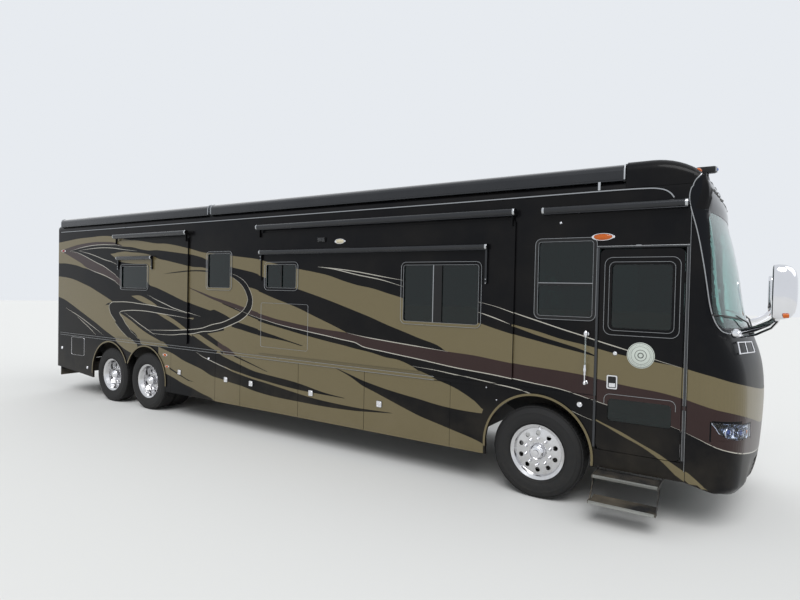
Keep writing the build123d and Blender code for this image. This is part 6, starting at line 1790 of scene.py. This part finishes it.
for side, sign in SIDES:
    keep = (lambda part: part) if sign < 0 else mirrored
    living = sleeve(-4.395, -0.28, -1.345, 3.19, 0.038) + sleeve(-4.335, -0.612, -1.335, 2.812, 0.0325)
    living += arm(-0.62, -1.330, 2.80, 2.39) + arm(-4.325, -1.330, 2.80, 2.70)
    made(f"awnings_living_{side}", f"living_slide_{side}", [(keep(p), n) for p, n in living],
         [case_black, cast_bright])
    if side == "right":
        made("awnings_bedroom", "bedroom_slide", sleeve(-8.29, -6.11, -1.345, 3.18, 0.038)
             + sleeve(-8.19, -7.10, -1.335, 2.770, 0.0325) + arm(-7.11, -1.330, 2.76, 2.565)
             + arm(-8.18, -1.330, 2.76, 2.565), [case_black, cast_bright])
        over_door = sleeve(0.03, 1.44, -1.313, 3.185, 0.038)
        made("awning_door", "coach", over_door, [case_black, cast_bright])
    case_ends = []
    profile = [(-1.284, 3.462), (-1.284, 3.56), (-1.262, 3.612), (-1.215, 3.630), (-1.14, 3.630),
               (-1.104, 3.60), (-1.104, 3.445), (-1.262, 3.445)]
    for x0, x1 in ((0.848, 0.862), (-10.412, -10.398), (-5.645, -5.633), (-5.567, -5.555)):
        points = [(x, y, z) for x in (x0, x1) for y, z in profile]
        faces = [tuple(range(8)), tuple(range(8, 16))] + strip(0, 8, 8)
        case_ends.append((keep((points, faces)), 1))
    case_ends.append((keep(block(0.60, 0.625, -1.292, -1.276, 3.365, 3.452, 0.004)), 1))
    for x0, x1 in ((-10.39, -5.65), (-5.55, 0.845)):
        case_ends.append((keep(swept([(x0, -1.2835, 3.478), (x1, -1.2835, 3.478)],
                                     [(-0.003, -0.010), (0.002, -0.010), (0.003, 0.010),
                                      (-0.003, 0.010)])), 0))
    made(f"awning_case_ends_{side}", "coach", case_ends, [case_black, cast_bright])
dress(case_black, "awning_cases")

# ---- Side fittings -----------------------------------------------------------------------------
# Marker and docking lamps in chromed bezels, the fuel flap, and the bay doors' paddle latches.


def oval_lamp(x, z, long, high, y=-1.276):
    """A lens in an oval bezel: the two as turned forms pressed wide."""
    seat = quarter_turned(x, y, z) @ Matrix.Diagonal((1, long / 2, high / 2, 1))
    bezel = set_at(turned([(0.74, 0.004), (0.80, 0.011), (0.92, 0.010), (1.0, 0.002), (1.0, -0.002),
                           (0.74, -0.002)], 40), seat)
    lens = set_at(turned([(0.0005, 0.017), (0.35, 0.0155), (0.62, 0.011), (0.77, 0.004), (0.77, -0.001),
                          (0.0005, -0.001)], 40), seat)
    return bezel, lens


cream_lens = glass("cream_lens", srgb(240, 230, 200), 0.3, 0.15)
red_lens = glass("red_lens", srgb(170, 16, 12), 0.35, 0.1)
for side, sign in SIDES:
    keep = (lambda part: part) if sign < 0 else mirrored
    fittings = []
    for x, z, long, high, finish in ((0.66, 2.885, 0.24, 0.082, 1), (-6.75, 1.05, 0.13, 0.055, 1),
                                     (-6.687, 0.849, 0.10, 0.05, 1), (-10.30, 2.95, 0.16, 0.06, 3)):
        bezel, lens = oval_lamp(x, z, long, high)
        fittings += [(keep(bezel), 0), (keep(lens), finish)]
    for x, z, radius in ((-5.568, 1.085, 0.022), (0.47, 1.12, 0.030), (-0.47, 1.05, 0.009),
                         (-0.6, 1.18, 0.009), (0.22, 3.05, 0.013), (-9.326, 0.58, 0.03),
                         (-10.336, 0.909, 0.034), (-6.787, 1.044, 0.016)):
        cup = turned([(0.0005, 0.010), (radius * 0.5, 0.009), (radius * 0.6, 0.004), (radius * 0.9, 0.007),
                      (radius, 0.001), (radius, -0.003), (0.0005, -0.003)], 24)
        fittings.append((keep(set_at(cup, quarter_turned(x, -1.276, z))), 0))
    flap = prism(rounded_loop(-9.938, -9.468, 0.816, 1.154, 0.03), -1.2755, -1.2795, 0.002)
    flap_rim = edge_bead(rounded_loop(-9.950, -9.456, 0.804, 1.166, 0.036), -1.2765, 0.003)
    fittings += [(keep(flap_rim), 0)]
    made(f"side_lamps_{side}", "coach", fittings, [chrome, amber_lens, cream_lens, red_lens])
    made(f"fuel_flap_{side}", "coach", [(keep(flap), 0)], [black_paint])
    paint_panel(f"fuel_flap_stripes_{side}", "coach", rounded_loop(-9.936, -9.470, 0.818, 1.152, 0.03), [],
                lambda x, z: (x + FRONT, sign * (1.2795 + film), z), sign < 0)
    bezel, lens = oval_lamp(-2.806, 2.937, 0.19, 0.075, -1.304)
    dock = block(-3.20, -3.06, -1.322, -1.303, 2.935, 3.0, 0.008)
    dock_lens = block(-3.19, -3.07, -1.326, -1.320, 2.943, 2.992, 0.003)
    made(f"slide_lamps_{side}", f"living_slide_{side}",
         [(keep(bezel), 0), (keep(lens), 1), (keep(dock), 2), (keep(dock_lens), 3)],
         [chrome, cream_lens, frame_black, lens_clear])
    for name, (x0, x1) in bays[side].items():
        latch_x = latch_at(x0, x1)
        loop = lambda half, radius: rounded_loop(latch_x - half, latch_x + half, 0.785 - half,
                                                 0.785 + half, radius)
        plate = prism(loop(0.040, 0.012), -1.281, -1.2845, 0.0015)
        rim = ring_prism(loop(0.040, 0.012), loop(0.034, 0.009), -1.283, -1.2875)
        paddle = prism(rounded_loop(latch_x - 0.024, latch_x + 0.024, 0.765, 0.811, 0.008), -1.284, -1.290,
                       0.003)
        screws = [set_at(turned([(0.0005, 0.0015), (0.003, 0.001), (0.0035, 0.0), (0.0005, 0.0)], 10),
                         quarter_turned(latch_x + a, -1.2845, 0.785 + b))
                  for a in (-0.029, 0.029) for b in (-0.029, 0.029)]
        made(f"bay_latch_{side}_{name}", f"bay_door_{side}_{name}",
             [(keep(part), 0) for part in [plate, rim, paddle] + screws], [chrome])
panel_rim = edge_bead(rounded_loop(-4.325, -3.372, 1.381, 2.048, 0.03), -1.3045, 0.0028)
made("slide_hatch_rim", "living_slide_right", [(panel_rim, 0)], [satin_metal])

# ---- Entry step --------------------------------------------------------------------------------
# Two ribbed aluminium treads on folded arms, which slide in under the stairs; black steel runners.
tread_alloy = new_finish("tread_alloy", srgb(176, 178, 174), 0.45, metallic=0.45, dust=0.2, dust_top=0.9,
                         dust_scale=12, ripple=(160, 0.2, 0.0008))
tread_parts = []
for y0, y1, top in ((-1.47, -1.215, 0.462), (-1.625, -1.385, 0.246)):
    tread_parts.append((block(0.669, 1.271, y0 + 0.001, y1, top - 0.030, top - 0.004, 0.003), 1))
    ribs = repeated(block(0.674, 1.266, 0.0, 0.0085, 0.0, 0.004, 0.0008), tread_alloy,
                    int((y1 - y0 - 0.03) / 0.014), step=(0, 0.014, 0))
    tread_parts.append((set_at(ribs, Matrix.Translation((0, y0 + 0.022, top - 0.0042))), 1))
    nose = swept([(0.669, y0 + 0.010, top - 0.012), (1.271, y0 + 0.010, top - 0.012)],
                 [(-0.009, -0.016), (0.008, -0.018), (0.030, 0.010), (-0.003, 0.0118), (-0.009, 0.008)])
    tread_parts.append((nose, 0))
for x in (0.657, 1.273):
    arm_loop = [(-1.47, 0.430), (-1.30, 0.430), (-0.905, 0.436), (-0.905, 0.466), (-1.47, 0.462)]
    leg_loop = [(-1.400, 0.435), (-1.360, 0.435), (-1.545, 0.245), (-1.615, 0.242), (-1.615, 0.218),
                (-1.535, 0.216)]
    for loop in (arm_loop, leg_loop):
        count = len(loop)
        points = [(px, y, z) for px in (x, x + 0.010) for y, z in loop]
        faces = [tuple(range(count)), tuple(range(count, 2 * count))]
        faces += strip(0, count, count)
        tread_parts.append(((points, faces), 1))
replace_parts(made("folding_step", "entry_step", tread_parts, [tread_alloy, chassis_black]),
            "entry_step")

# ---- Roof gear ---------------------------------------------------------------------------------
# Three low air conditioners under moulded shrouds with slatted sides, and two vent lids between them.
roof_plastic = new_finish("roof_plastic", srgb(44, 45, 47), 0.5, dust=0.25, dust_top=6.0, dust_scale=5.0,
                          ripple=(300, 0.2, 0.0006), second=srgb(54, 55, 57))
roof_parts = []
for x in (-8.9, -4.9, -0.9):
    shroud_rows = []
    for z, half_x, half_y in ((3.600, 0.525, 0.355), (3.675, 0.525, 0.355), (3.735, 0.512, 0.343),
                              (3.772, 0.480, 0.315), (3.790, 0.42, 0.262), (3.795, 0.30, 0.16)):
        shroud_rows.append([(x + a, 0.0 + b, z) for a, b in rounded_loop(-half_x, half_x, -half_y, half_y,
                                                                         0.09)])
    roof_parts.append((lofted(shroud_rows), 0))
    slats = repeated(block(-0.20, 0.20, -0.012, 0.0, -0.003, 0.003, 0.001), roof_plastic, 7,
                     step=(0, 0, 0.012))
    for way in (-1, 1):
        turn_round = Matrix.Identity(4) if way < 0 else Matrix.Rotation(pi, 4, "Z")
        roof_parts.append((set_at(slats, Matrix.Translation((x, way * 0.352, 3.625)) @ turn_round), 1))
        roof_parts.append((set_at(slats, Matrix.Translation((x + way * 0.522, 0, 3.625))
                                  @ Matrix.Rotation(way * pi / 2, 4, "Z")
                                  @ Matrix.Diagonal((0.8, 1, 1, 1))), 1))
for x in (-6.9, -2.9):
    lid_rows = []
    for z, half in ((3.605, 0.19), (3.655, 0.19), (3.673, 0.182), (3.683, 0.15), (3.684, 0.06)):
        lid_rows.append([(x + a, 0.45 + b, z) for a, b in rounded_loop(-half, half, -half, half, 0.045)])
    roof_parts.append((lofted(lid_rows), 0))
    roof_parts.append((repeated(block(x - 0.15, x + 0.15, 0.0, 0.006, 3.682, 3.6845, 0.0006), roof_plastic,
                                7, step=(0, 0.04, 0)), 1))
    roof_parts[-1] = (set_at(roof_parts[-1][0], Matrix.Translation((0, 0.33, 0))), 1)
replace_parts(made("roof_gear", "coach", roof_parts, [roof_plastic, frame_black]),
            "roof_units")

# ---- Tail --------------------------------------------------------------------------------------
# Lamps in chromed frames with ribbed lenses, a blank plate in its recess, the reversing camera, and
# the exhaust under the engine door.
tail_x = -10.60
tail_parts = []


def tail_block(y0, y1, z0, z1, proud, sunk=0.004, edge=0.004):
    return block(tail_x - proud, tail_x + sunk, y0, y1, z0, z1, edge)


def tail_lamp(y, z, long, high):
    """Bezel and lens of an oval lamp, facing back."""
    parts = oval_lamp(0, 0, long, high, 0)
    return [(set_at(part, quarter_turned(tail_x, y, z)), finish) for finish, part in enumerate(parts)]


for sign in (-1, 1):
    y0, y1 = sorted((sign * 0.955, sign * 1.115))
    frame_loop = rounded_loop(y0 - 0.014, y1 + 0.014, 1.276, 1.804, 0.03)
    inner_loop = rounded_loop(y0 + 0.002, y1 - 0.002, 1.292, 1.788, 0.02)
    half_turn = Matrix.Scale(-1, 4, (1, 0, 0)) @ Matrix.Scale(-1, 4, (0, 1, 0))
    tail_parts.append((set_at(ring_prism(frame_loop, inner_loop, 0.0, 0.018),
                              quarter_turned(tail_x, 0, 0) @ half_turn), 0))
    for z0, z1, finish in ((1.30, 1.455, 1), (1.463, 1.617, 2), (1.625, 1.78, 1)):
        ribs = repeated(block(tail_x - 0.0155, tail_x - 0.011, y0 + 0.012, y0 + 0.018, z0, z1, 0.0012),
                        red_lens, 12, step=(0, 0.0115, 0))
        tail_parts.append((ribs, finish))
    tail_parts += tail_lamp(sign * 1.03, 2.98, 0.13, 0.05)
for y in (-0.22, 0.0, 0.22):
    tail_parts += tail_lamp(y, 3.27, 0.11, 0.045)
tail_parts += [(tail_block(-0.055, 0.055, 3.08, 3.14, 0.045, edge=0.010), 3),
               (tail_block(-0.022, 0.022, 3.088, 3.122, 0.05), 4)]
made("tail_fittings", "coach", tail_parts, [chrome, red_lens, lens_clear, frame_black, projector_glass])
made("number_plate", "engine_door",
     [(block(-10.6665, -10.6605, -0.152, 0.152, 1.375, 1.475, 0.002), 0),
      (block(-10.664, -10.660, -0.165, 0.165, 1.362, 1.488, 0.002), 1)],
     [medallion_pale, frame_black])
exhaust = swept([(-9.6, 0.62, 0.50), (-10.1, 0.64, 0.47), (-10.35, 0.66, 0.44), (-10.50, 0.68, 0.42)],
                round_section(0.055, 20))
made("exhaust_pipe", "coach", [(exhaust, 0)], [satin_metal])
